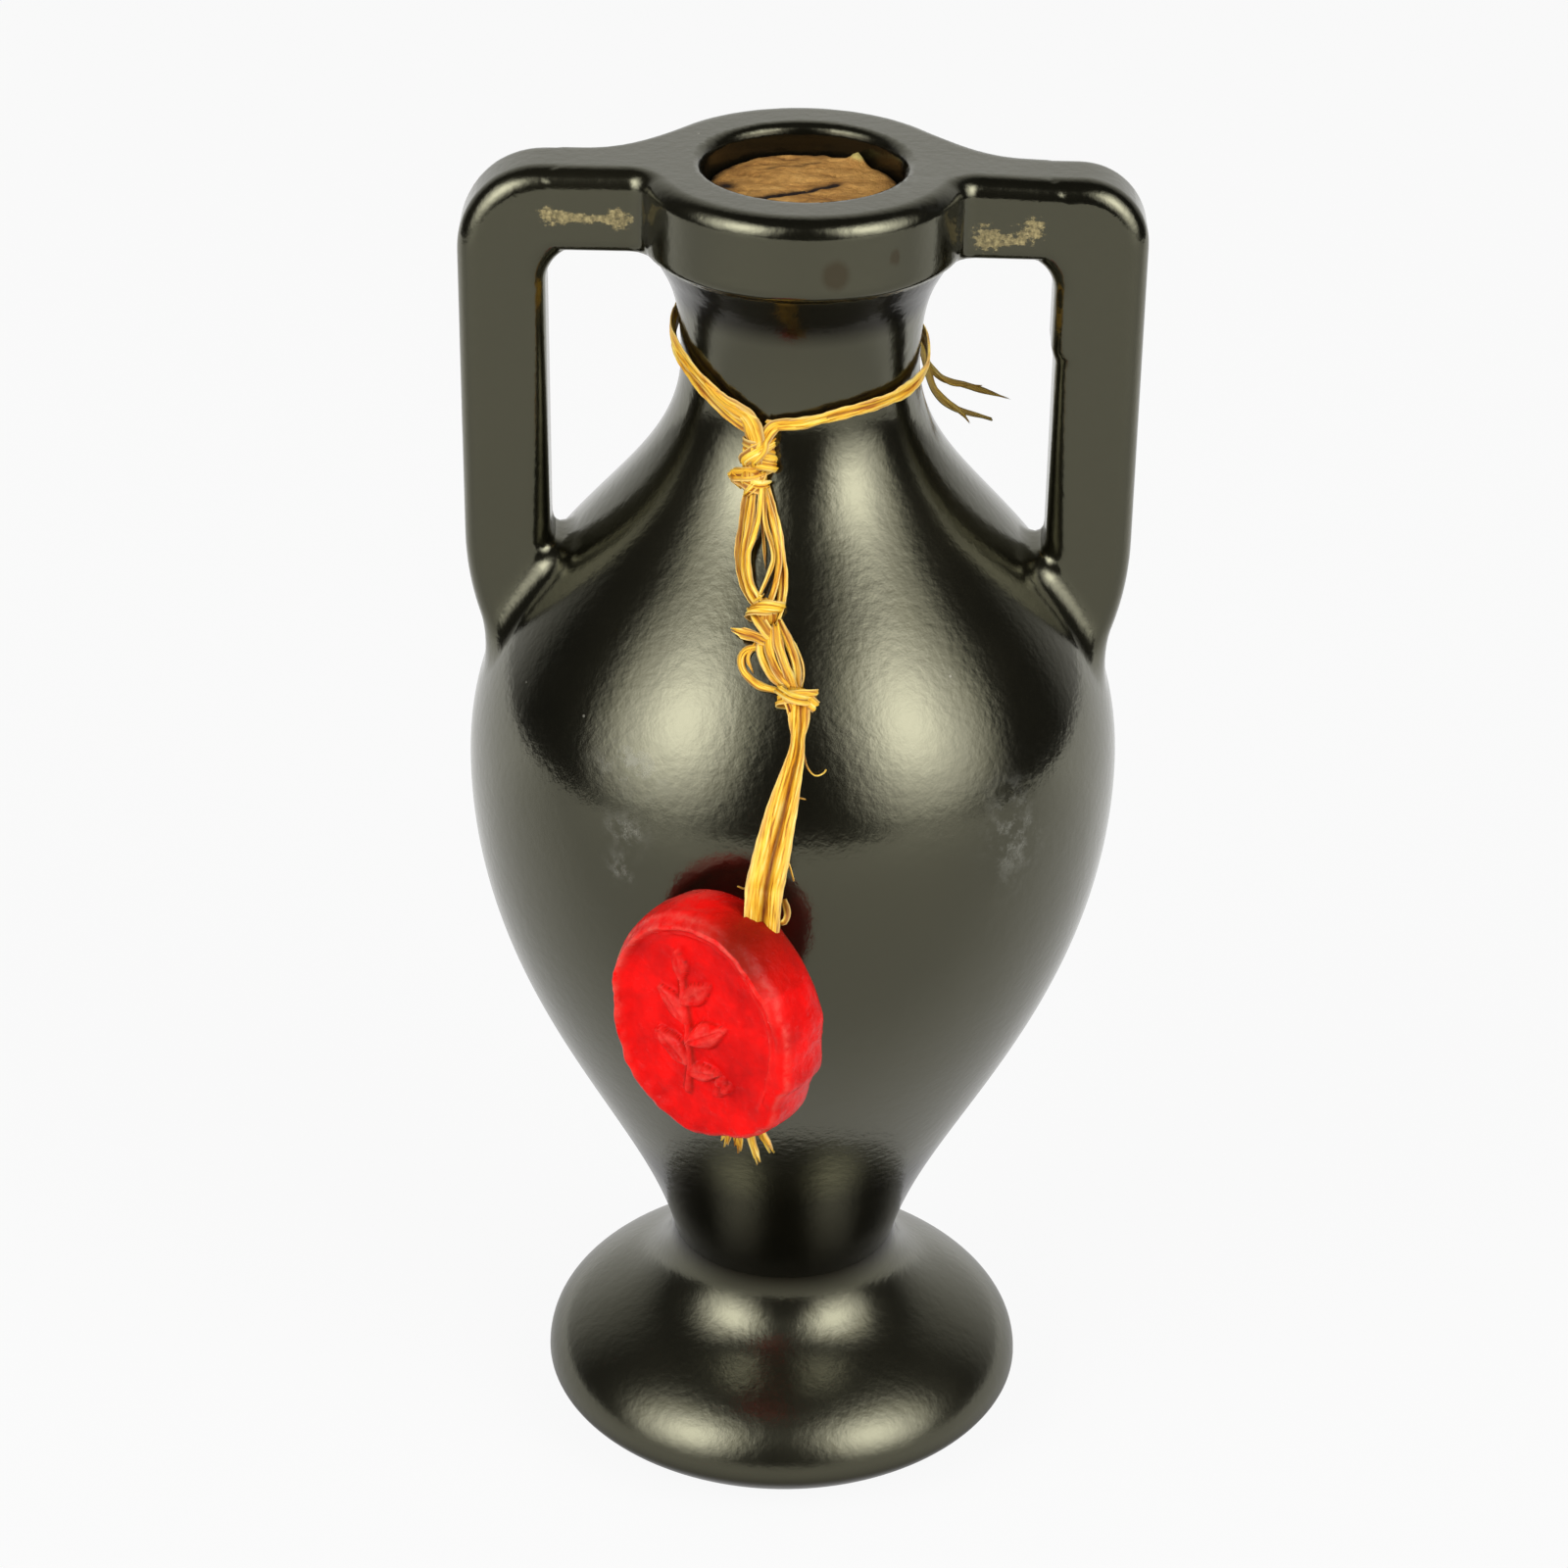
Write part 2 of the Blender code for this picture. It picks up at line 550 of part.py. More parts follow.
# Each end's place to the right of the seal's middle, how far it runs sideways, and its fall
FRINGE = ((1.1, -0.7, 2.2), (2.1, -0.2, 2.4), (3.2, 0.7, 3.2), (4.2, 1.1, 2.0))
for i, (u, run, fall) in enumerate(FRINGE):
    start_v = -SEAL_H / 2 * math.sqrt(1 - (2 * u * MM / SEAL_W) ** 2) - 2 * SEAT
    route = [seal_point((u + run * share) * MM, start_v - fall * MM * share, -BAND_BACK)
             for share in (0, 0.5, 1)]
    cord(f"fringe_{i + 1}", route, FRINGE_D, RAFFIA, hanger, taper=0.4)
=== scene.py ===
"""The look of the two-handled bud vase: glaze, cork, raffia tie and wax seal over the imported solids.

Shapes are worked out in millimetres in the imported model's own frame, with the vase's axis on Z
and its front towards -Y, and become metres when a mesh is made.
"""

import math

import bpy
import numpy as np
from mathutils import Matrix, Vector


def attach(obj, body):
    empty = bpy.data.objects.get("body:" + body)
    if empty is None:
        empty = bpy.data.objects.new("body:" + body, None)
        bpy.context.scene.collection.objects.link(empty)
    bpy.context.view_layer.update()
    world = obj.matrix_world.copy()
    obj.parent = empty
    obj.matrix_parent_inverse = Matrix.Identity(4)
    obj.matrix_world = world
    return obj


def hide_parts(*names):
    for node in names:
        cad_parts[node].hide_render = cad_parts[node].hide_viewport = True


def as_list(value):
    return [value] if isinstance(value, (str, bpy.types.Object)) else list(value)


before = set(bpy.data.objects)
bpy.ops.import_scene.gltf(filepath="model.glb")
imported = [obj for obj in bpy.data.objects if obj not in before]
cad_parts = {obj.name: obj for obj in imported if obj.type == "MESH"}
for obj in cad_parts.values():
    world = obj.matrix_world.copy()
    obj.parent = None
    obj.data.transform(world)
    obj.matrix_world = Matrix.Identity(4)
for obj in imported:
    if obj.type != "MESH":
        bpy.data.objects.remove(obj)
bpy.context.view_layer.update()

MM = 0.001
CIRCLE = 2 * math.pi

# Turned body, radius and height
HEIGHT = 135.0
RIM_R = 14.95
RIM_H = 7.5
RIM_EDGE = (1.0, 1.8)        # rounding below and above
RIM_STEP = 0.9               # how far the neck ends inside the rim's edge
RIM_LIFT, RIM_LIFT_Z = 0.45, (HEIGHT - 9, HEIGHT - 1)    # how far the rim stands proud
RIM_SINK, RIM_SINK_X = 0.8, (13, 22)                     # the share of it that is lost to the right
NECK_TOP = HEIGHT - RIM_H
MOUTH_R = 9.2
LIP_R = 1.0
BORE_END_R = 7.3
BORE_DEPTH = 25.0
NECK_R, NECK_Z = 11.04, 116.2
BELLY_R, BELLY_Z = 31.0, 75.2
WAIST_R, WAIST_Z = 11.2, 21.2
LAP = 1.2                    # how far body and foot run into each other at the waist
WALL = 4.0
FLOOR_T = 5.0
BELLY_RISE, BELLY_SINK = 21.46, 23.65
NECK_SINK = 14.06
WAIST_RUN = (3.9, 15.55)
FLARE_RISE, FLARE_RUN = 6.7, (1.75, 2.8)

# Foot
FOOT_R, FOOT_EDGE_Z = 23.95, 5.4
FOOT_REST_R, FOOT_REST_W = 17.8, 4.0
FOOT_ROLL, FOOT_TUCK = 1.25, (2.25, 1.76)
FOOT_STEM, FOOT_MID = (0.3, 1.6), (4.4, 7.0)
FOOT_FALL, FOOT_PULL, FOOT_DOME = math.radians(33), (4.85, 3.3), 4.6
HOLLOW_H, HOLLOW_R = 13.0, 7.0

# Handles
HANDLE_OUT = 31.4
HANDLE_W = 8.0
HANDLE_D = 7.6
BAR_START, BAR_H = 9.0, 7.4
CORNER_OUT_R, CORNER_IN_R = 6.0, 3.5
CORNER_MORE = (2.0, 0.4)     # the left and right outer corners are rounder by this
EDGE_R = 2.0
HEEL_R, HEEL_H, HEEL_PAST = 30.0, 12.0, 1.4
TOE_R, TOE_TURN = 2.5, math.radians(50)
ROOT_R = (1.2, 5.2)          # plan fillet to the rim at the front and at the back
JOINT_FILLET, FILLET_Z = 2.4, (NECK_TOP, NECK_TOP - 7)   # it dies out towards the rim
LEAN = (0.45, 0.15)          # how far the left and right uprights lean in at their foot
LEAN_Z = (130, 85)
SEAM_SHIFT = 0.4             # the right handle is this much thicker inside, above its mould seam
SEAM_Z = (117.3, 118.2)

# Cork
CORK_TOP = HEIGHT - 2.2
CORK_L = 22.0
CORK_FIT = 0.15

# Raffia: where the tie's knots sit, as place to the right and drop below the neck's middle
NECK_KNOT = (-3.4, 4.5)
LOW_KNOT = (0.1, 22.1)
LOOP_LIFT, LOOP_TILT, LOOP_DIP = 1.8, (1.2, 1.6), 2.2
LOOP_DIP_TURN = math.radians(29)
STRIP_T = 0.24

# Wax seal
SEAL_W, SEAL_H, SEAL_T = 19.7, 23.4, 6.8
SEAL_AT = np.array((-6.4, -36.4, 67.4))
SEAL_YAW = math.radians(34)
BAND_IN, BAND_OUT, BAND_BACK = 4.2, 2.6, 1.0


# Curves and fields

def slide(value, start, end):
    """0 at start and before it, 1 at end and beyond it, straight in between."""
    return np.clip((value - start) / (end - start), 0, 1)


def bell(gap, reach):
    """1 where there is no gap, falling off over the reach."""
    return np.exp(-((gap / reach) ** 2))


def unit(ways):
    return ways / np.maximum(np.linalg.norm(ways, axis=-1, keepdims=True), 1e-9)


def run_along(line):
    """Distance along a line at each of its points."""
    return np.concatenate(([0], np.cumsum(np.linalg.norm(np.diff(line, axis=0), axis=1))))


def line_length(line):
    return float(run_along(line)[-1])


def bezier(a, b, c, d, steps):
    t = np.linspace(0, 1, steps + 1)[:, None]
    a, b, c, d = (np.array(p, float) for p in (a, b, c, d))
    return a * (1 - t) ** 3 + 3 * b * t * (1 - t) ** 2 + 3 * c * t * t * (1 - t) + d * t**3


def arc(centre, radius, start, end, steps):
    a = np.radians(np.linspace(start, end, steps + 1))
    return np.column_stack((centre[0] + radius * np.cos(a), centre[1] + radius * np.sin(a)))


LOWER = bezier((WAIST_R, WAIST_Z), (WAIST_R + WAIST_RUN[0], WAIST_Z + WAIST_RUN[1]),
               (BELLY_R, BELLY_Z - BELLY_SINK), (BELLY_R, BELLY_Z), 70)
SHOULDER = bezier((BELLY_R, BELLY_Z), (BELLY_R, BELLY_Z + BELLY_RISE),
                  (NECK_R, NECK_Z - NECK_SINK), (NECK_R, NECK_Z), 70)
FLARE = bezier((NECK_R, NECK_Z), (NECK_R, NECK_Z + FLARE_RISE),
               (RIM_R - RIM_STEP - FLARE_RUN[0], NECK_TOP - FLARE_RUN[1]),
               (RIM_R - RIM_STEP, NECK_TOP), 30)
OUTSIDE = np.vstack((LOWER, SHOULDER[1:], FLARE[1:]))


def outer_radius(z):
    return np.interp(z, OUTSIDE[:, 1], OUTSIDE[:, 0])


def outer_slope(z, reach=0.2):
    return (outer_radius(z + reach) - outer_radius(z - reach)) / (2 * reach)


def outward(points):
    """Unit normals of the turned body under these points."""
    turn = np.arctan2(points[:, 1], points[:, 0])
    return unit(np.column_stack((np.cos(turn), np.sin(turn), -outer_slope(points[:, 2]))))


def shoulder_height(radius):
    return np.interp(-radius, -SHOULDER[:, 0], SHOULDER[:, 1])


def bore_radius(z):
    return MOUTH_R + (BORE_END_R - MOUTH_R) * (HEIGHT - z) / BORE_DEPTH


def nearest(points, a, b):
    """Distance from each 2-D point to the nearest of the lines from a to b."""
    p, run = points[:, None], b - a
    t = np.clip(((p - a) * run).sum(2) / np.maximum((run**2).sum(1), 1e-12), 0, 1)
    return np.sqrt(((p - a - t[..., None] * run) ** 2).sum(2)).min(1)


def line_gap(points, line):
    return nearest(points, line[:-1], line[1:])


def polygon_distance(points, polygon, chunk=8000):
    """Signed distance from 2-D points to a closed polygon, negative inside."""
    a, b = polygon, np.roll(polygon, -1, axis=0)
    run = b - a
    rise = np.where(run[:, 1] == 0, 1e-12, run[:, 1])
    out = np.empty(len(points))
    for start in range(0, len(points), chunk):
        part = slice(start, start + chunk)
        x, y = points[part, :1], points[part, 1:]
        above = (a[:, 1] > y) != (b[:, 1] > y)
        cross = a[:, 0] + (y - a[:, 1]) * run[:, 0] / rise
        inside = (above & (x < cross)).sum(1) % 2 == 1
        gap = nearest(points[part], a, b)
        out[part] = np.where(inside, -gap, gap)
    return out


CHART_STEP, CHART_OUT, CHART_TOP = 0.25, 42, 142
BODY_LOW, HANDLE_LOW = 12, 70    # where the charts of body and handles begin


class Chart:
    """A 2-D distance, out from the axis and up, kept on a fine grid and read by interpolation."""

    def __init__(self, polygon, bottom):
        self.bottom = bottom
        self.count = [int(reach / CHART_STEP) + 1 for reach in (CHART_OUT, CHART_TOP - bottom)]
        u, v = (CHART_STEP * np.arange(n) for n in self.count)
        grid = np.stack(np.meshgrid(u, bottom + v, indexing="ij"), -1).reshape(-1, 2)
        self.values = polygon_distance(grid, polygon).reshape(self.count)

    def read(self, u, v):
        a = np.clip(u / CHART_STEP, 0, self.count[0] - 1.001)
        b = np.clip((v - self.bottom) / CHART_STEP, 0, self.count[1] - 1.001)
        i, j = a.astype(int), b.astype(int)
        s, t = a - i, b - j
        rows = self.values
        return ((rows[i, j] * (1 - t) + rows[i, j + 1] * t) * (1 - s)
                + (rows[i + 1, j] * (1 - t) + rows[i + 1, j + 1] * t) * s)


def round_union(a, b, radius):
    u = np.maximum(radius - a, 0)
    v = np.maximum(radius - b, 0)
    return np.maximum(radius, np.minimum(a, b)) - np.hypot(u, v)


def both(a, b):
    """Distance to what lies inside two flat limits."""
    return np.hypot(np.maximum(a, 0), np.maximum(b, 0)) + np.minimum(np.maximum(a, b), 0)


def rounded_prism(plan, level, edge):
    """Distance to a flat shape given depth, with its edges rounded."""
    return both(plan + edge, level + edge) - edge


def handle_outline(width, corner):
    """Side view of a handle: level part, square shoulder, upright, heel and toe."""
    x_in = HANDLE_OUT - width
    under = HEIGHT - BAR_H
    inner = (x_in - CORNER_IN_R, under - CORNER_IN_R)
    outer = (HANDLE_OUT - corner, HEIGHT - corner)
    toe_x = x_in - TOE_R * (1 - math.cos(TOE_TURN))
    toe = (x_in - TOE_R, shoulder_height(toe_x) + TOE_R * math.sin(TOE_TURN))
    heel = (HANDLE_OUT - HEEL_R, shoulder_height(HANDLE_OUT - HANDLE_W / 3) + HEEL_H)
    sweep = -math.degrees(math.asin(HEEL_PAST * HEEL_H / HEEL_R))
    outside = np.vstack(([[BAR_START, HEIGHT]], arc(outer, corner, 90, 0, 16),
                         arc(heel, HEEL_R, 0, sweep, 16)))
    inside = np.vstack(([[BAR_START, under]], arc(inner, CORNER_IN_R, 90, 0, 10),
                        arc(toe, TOE_R, 0, -math.degrees(TOE_TURN), 8)))
    deep = np.array([outside[-1] - (WALL, 0), inside[-1] - (WALL, WALL)])
    return np.vstack((outside, deep, inside[::-1]))


PAST_AXIS = -3               # outlines run a little past the axis, so that it is no edge
ABOVE_RIM = HEIGHT + 5
INSIDE_RIM = (12.5, HEIGHT - 4)  # where the body's outline ends, hidden in the rim


def body_outline():
    low = WAIST_Z - LAP
    return np.vstack(([[PAST_AXIS, low], [WAIST_R - 0.1, low]], OUTSIDE,
                      [INSIDE_RIM, [PAST_AXIS, INSIDE_RIM[1]]]))


def cavity_outline():
    curve = np.vstack((LOWER, SHOULDER[1:]))
    run = unit(np.gradient(curve, axis=0))
    wall = curve + WALL * np.column_stack((-run[:, 1], run[:, 0]))
    floor_z, throat_z = WAIST_Z + FLOOR_T, HEIGHT - BORE_DEPTH
    wall = wall[(wall[:, 0] > BORE_END_R) & (wall[:, 1] > floor_z) & (wall[:, 1] < throat_z)]
    lip = arc((MOUTH_R + LIP_R, HEIGHT - LIP_R), LIP_R, 180, 90, 8)
    return np.vstack(([[PAST_AXIS, floor_z], [wall[0][0] - 1, floor_z]], wall, [[BORE_END_R, throat_z]],
                      lip, [[MOUTH_R + LIP_R, ABOVE_RIM], [PAST_AXIS, ABOVE_RIM]]))


BODY_CHART = Chart(body_outline(), BODY_LOW)
CAVITY_CHART = Chart(cavity_outline(), BODY_LOW)
LEFT_CHART = Chart(handle_outline(HANDLE_W, CORNER_OUT_R + CORNER_MORE[0]), HANDLE_LOW)
RIGHT_CHART = Chart(handle_outline(HANDLE_W + SEAM_SHIFT, CORNER_OUT_R + CORNER_MORE[1]), HANDLE_LOW)


def rim_slab(plan, z):
    level = z - HEIGHT + RIM_H / 2
    return rounded_prism(plan, np.abs(level) - RIM_H / 2, np.where(level < 0, *RIM_EDGE))


def lathe_field(p):
    """The plain turned body with its rim, before handles."""
    r = np.hypot(p[..., 0], p[..., 1])
    return np.minimum(BODY_CHART.read(r, p[..., 2]), rim_slab(r - RIM_R, p[..., 2]))


def pot_field(p):
    """Body, rim and both handles as one glazed surface, with the mouth and the hollow taken out."""
    x, y, z = p[..., 0], p[..., 1], p[..., 2]
    z = z - RIM_LIFT * slide(z, *RIM_LIFT_Z) * (1 - RIM_SINK * slide(x, *RIM_SINK_X))
    r = np.hypot(x, y)
    depth = np.abs(y) - HANDLE_D / 2
    across = np.abs(x) + np.where(x < 0, *LEAN) * slide(z, *LEAN_Z)
    above_seam = np.where(x < 0, 0, slide(z, *SEAM_Z))
    side = LEFT_CHART.read(across, z) * (1 - above_seam) + RIGHT_CHART.read(across, z) * above_seam
    fillet = JOINT_FILLET * slide(z, *FILLET_Z) + 0.02
    pot = round_union(BODY_CHART.read(r, z), rounded_prism(side, depth, EDGE_R), fillet)

    bar = both(np.abs(x) - (HANDLE_OUT - CORNER_OUT_R - CORNER_MORE[0]), depth)
    plan = round_union(r - RIM_R, bar, np.where(y < 0, *ROOT_R))
    pot = np.minimum(pot, rim_slab(plan, z))
    return np.maximum(pot, -CAVITY_CHART.read(r, z))


def gradient(field, p, reach=0.25):
    return unit(np.stack([field(p + step) - field(p - step) for step in np.eye(3) * reach], -1))


def settle(field, p, most=0.4):
    """Brings points onto the surface of a field."""
    return p - np.clip(field(p), -most, most)[:, None] * gradient(field, p)


def surface_net(field, axes, chunk=16):
    """Quads over the zero surface of a field on a grid."""
    grid = np.meshgrid(*axes, indexing="ij")
    values = np.empty(grid[0].shape)
    for k in range(0, len(axes[2]), chunk):
        cut = np.s_[:, :, k:k + chunk]
        values[cut] = field(np.stack([g[cut] for g in grid], -1))
    shape = [n - 1 for n in values.shape]
    cells, marks, quads = [], [], []
    for a in range(3):
        b, c = (a + 1) % 3, (a + 2) % 3
        low = np.moveaxis(np.moveaxis(values, a, 0)[:-1], 0, a)
        high = np.moveaxis(np.moveaxis(values, a, 0)[1:], 0, a)
        index = np.argwhere((low < 0) != (high < 0))
        v0, v1 = low[tuple(index.T)], high[tuple(index.T)]
        t = v0 / (v0 - v1)
        spot = np.column_stack([axes[i][index[:, i]] for i in range(3)])
        spot[:, a] += t * (axes[a][index[:, a] + 1] - axes[a][index[:, a]])
        ring = []
        for step_b, step_c in ((1, 1), (0, 1), (0, 0), (1, 0)):
            cell = index.copy()
            cell[:, b] -= step_b
            cell[:, c] -= step_c
            ring.append(np.ravel_multi_index(cell.T, shape))
        cells += ring
        marks += [spot] * 4
        ring = np.column_stack(ring)
        quads.append(np.where((v0 < 0)[:, None], ring, ring[:, ::-1]))
    marks = np.vstack(marks)
    names, back = np.unique(np.concatenate(cells), return_inverse=True)
    count = np.bincount(back)
    points = np.column_stack([np.bincount(back, marks[:, i]) / count for i in range(3)])
    return points, np.searchsorted(names, np.vstack(quads))


def quad_edges(quads):
    return np.vstack([quads[:, [i, (i + 1) % 4]] for i in range(4)])


def relax(field, points, quads):
    """Evens out the quads along the surface."""
    ends = quad_edges(quads)
    ends = np.vstack((ends, ends[:, ::-1]))
    count = np.maximum(np.bincount(ends[:, 0], minlength=len(points)), 1)
    for _ in range(2):
        middle = np.column_stack([np.bincount(ends[:, 0], points[ends[:, 1], i], len(points)) / count
                                  for i in range(3)])
        points = settle(field, points + 0.5 * (middle - points))
    return settle(field, points)


# Mesh making

def put(name, data):
    """An object in the scene for a mesh, a lamp or a lens."""
    thing = bpy.data.objects.new(name, data)
    bpy.context.scene.collection.objects.link(thing)
    return thing


def mesh_piece(name, points, faces, material, normals=None, marks=None):
    """A mesh object from millimetre points. marks are named numbers kept on each point."""
    mesh = bpy.data.meshes.new(name)
    mesh.from_pydata((np.asarray(points) * MM).tolist(), [], [list(map(int, f)) for f in faces])
    mesh.validate()
    mesh.materials.append(material)
    mesh.shade_smooth()
    for key, values in (marks or {}).items():
        layer = mesh.attributes.new(key, "FLOAT", "POINT")
        layer.data.foreach_set("value", np.asarray(values, np.float32))
    if normals is not None:
        corner = np.empty(len(mesh.loops), int)
        mesh.loops.foreach_get("vertex_index", corner)
        mesh.normals_split_custom_set(normals[corner].tolist())
    return put(name, mesh)


def stands_for(piece, body, slot, *nodes):
    """The piece moves with a body and shows in place of these solids. The slot is not used."""
    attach(piece, body)
    if nodes:
        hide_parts(*nodes)
    return piece


def ring_quads(rows, columns):
    """Faces between rings of points, one ring after another."""
    return [(i + j, i + columns + j, i + columns + (j + 1) % columns, i + (j + 1) % columns)
            for i in range(0, (rows - 1) * columns, columns) for j in range(columns)]


def closed_rings(rows, columns):
    """Faces of rings whose first and last are drawn to the two points that come after them all."""
    faces = ring_quads(rows, columns)
    first, last = rows * columns, (rows - 1) * columns
    for j in range(columns):
        k = (j + 1) % columns
        faces += [(first, j, k), (first + 1, last + k, last + j)]
    return faces


def turned_mesh(profile, steps):
    """Points and faces of a profile turned about Z, its ends on the axis."""
    turn = CIRCLE * np.arange(steps) / steps
    r, z = profile[1:-1].T
    rings = np.stack((np.outer(r, np.cos(turn)), np.outer(r, np.sin(turn)),
                      np.repeat(z[:, None], steps, 1)), -1)
    points = np.vstack((rings.reshape(-1, 3), [[0, 0, profile[0, 1]], [0, 0, profile[-1, 1]]]))
    return points, closed_rings(len(r), steps)


def boundary_loops(quads):
    """Open edges of a patch of faces, joined into loops in face order."""
    have = {(int(a), int(b)) for a, b in quad_edges(quads)}
    onward = {}
    for a, b in have:
        if (b, a) not in have:
            onward.setdefault(a, []).append(b)
    loops = []
    while onward:
        start = min(onward)
        loop = [start]
        while True:
            nexts = onward[loop[-1]]
            step = nexts.pop()
            if not nexts:
                del onward[loop[-1]]
            if step == start:
                break
            loop.append(step)
        loops.append(loop)
    return loops


def closed_patch(points, normals, quads, lift):
    """A patch cut from a surface, with each open loop closed by a fan round a point moved by lift."""
    used, back = np.unique(quads, return_inverse=True)
    quads = back.reshape(-1, 4)
    faces = [tuple(q) for q in quads]
    patch, turned = [points[used]], [normals[used]]
    total = len(used)
    for loop in boundary_loops(quads):
        rim = points[used][loop]
        middle = rim.mean(0)
        side = np.sign(middle[0])
        cap = np.vstack((rim, middle + lift * np.array((side, 0, 0.2))))
        patch.append(cap)
        turned.append(np.tile((-np.sign(lift) * side, 0, 0), (len(cap), 1)))
        count = len(loop)
        faces += [(total + (i + 1) % count, total + i, total + count) for i in range(count)]
        total += len(cap)
    return np.vstack(patch), np.vstack(turned), faces


# Strips of raffia

def spline(route, spacing=0.3):
    """A smooth line through given points, evenly spaced."""
    route = np.asarray(route, float)
    ends = np.vstack((2 * route[0] - route[1], route, 2 * route[-1] - route[-2]))
    line = []
    t = np.linspace(0, 1, 25)[:-1, None]
    for i in range(1, len(ends) - 2):
        p0, p1, p2, p3 = ends[i - 1:i + 3]
        line.append(0.5 * (2 * p1 + (p2 - p0) * t + (2 * p0 - 5 * p1 + 4 * p2 - p3) * t**2
                           + (3 * p1 - p0 - 3 * p2 + p3) * t**3))
    line = np.vstack(line + [route[-1:]])
    run = run_along(line)
    even = np.linspace(0, run[-1], max(8, int(run[-1] / spacing) + 1))
    return np.column_stack([np.interp(even, run, line[:, i]) for i in range(3)])


# Pleats of a strip, coarse to fine: how many across it, and their height as a share of its fold
PLEATS = ((1.0, 0.6), (2.3, 0.5), (4.1, 0.22))
RIPPLES = ((1.7, 0.07), (4.1, 0.04))     # its uneven width: waves along it, and their share of the width
TWIST = (0.9, 0.12)                      # its slow twist: waves along it, and their angle


def strip(route, width, seed, up=None, fold=0.3, thick=STRIP_T, turn=(0, 0), ends=(0.8, 0.8),
          fray=0.5, cross=9, spacing=0.3, widths=None, dull=0.0, uneven=1.0):
    """A flat fibrous strip: folded lengthwise, a little uneven, with ragged ends.

    up gives the way its face looks, the body's own outside if not told. Returns points, faces and marks.
    """
    rng = np.random.default_rng(seed)
    line = spline(route, spacing)
    count = len(line)
    along = run_along(line)
    share = along / along[-1]
    tangent = unit(np.gradient(line, axis=0))
    face = outward(line) if up is None else (up(line) if callable(up) else np.tile(up, (count, 1)))
    face = unit(face - (face * tangent).sum(1)[:, None] * tangent)
    across = np.cross(tangent, face)
    wobble = rng.uniform(0, 6.28, 4)
    angle = turn[0] + (turn[1] - turn[0]) * share + TWIST[1] * np.sin(along * TWIST[0] + wobble[0])
    cos, sin = np.cos(angle)[:, None], np.sin(angle)[:, None]
    face, across = face * cos - across * sin, across * cos + face * sin

    # Half width: uneven along the strip and drawn in over the last fifth at each end
    widths = (width,) if widths is None else widths
    half = np.interp(share, np.linspace(0, 1, len(widths)), widths) / 2
    ripple = sum(size * np.sin(along * rate + at) for (rate, size), at in zip(RIPPLES, wobble[1:]))
    half = half * (1 + uneven * ripple)
    half = half * (ends[0] + (1 - ends[0]) * np.clip(share * 5, 0, 1))
    half = half * (ends[1] + (1 - ends[1]) * np.clip((1 - share) * 5, 0, 1))

    q = np.linspace(-1, 1, cross)
    phase = rng.uniform(0, 1, 3)
    drift = rng.uniform(-0.02, 0.02, 3)
    height = np.zeros((count, cross))
    for k, (pleats, size) in enumerate(PLEATS):
        wave = q[None, :] * pleats / 2 + phase[k] + drift[k] * along[:, None]
        height += size * (1 - np.abs(2 * (wave % 1) - 1))
    height = fold * (height - height.mean()) * np.minimum(1, 2.2 * half / max(width / 2, 0.2))[:, None]
    rim = thick / 2 * np.sqrt(np.maximum(1 - q**4, 0.06))
    flat = line[:, None, :] + across[:, None, :] * (q * half[:, None])[..., None]
    top = flat + face[:, None, :] * (height + rim)[..., None]
    low = flat + face[:, None, :] * (height - rim)[..., None]
    ring = np.concatenate((top, low[:, ::-1]), 1)
    jag = rng.uniform(0, fray, (2, cross))
    ring[0] -= tangent[0] * np.concatenate((jag[0], jag[0][::-1]))[:, None]
    ring[-1] += tangent[-1] * np.concatenate((jag[1], jag[1][::-1]))[:, None]

    size = 2 * cross
    faces = [quad[3:] + quad[:3] for quad in ring_quads(count, size)]
    last = (count - 1) * size
    for j in range(cross - 1):
        faces.append((j, j + 1, size - 2 - j, size - 1 - j))
        faces.append((last + j + 1, last + j, last + size - 1 - j, last + size - 2 - j))

    def both_faces(grid):
        return np.concatenate((grid, grid[:, ::-1]), 1).reshape(-1)

    marks = {
        "along": np.repeat(along, size),
        "across": both_faces(q * half[:, None]),
        "tone": np.full(count * size, rng.uniform()),
        # rise is the fold's height, which the finish turns into painted shade in the hollows
        "rise": both_faces((height - height.min()) / max(np.ptp(height), 1e-6)),
        # edge is a painted highlight along the strip's edges
        "edge": both_faces(np.tile(0.5 * np.abs(q) ** 6, (count, 1))),
        "dull": np.full(count * size, dull),
    }
    return ring.reshape(-1, 3), faces, marks


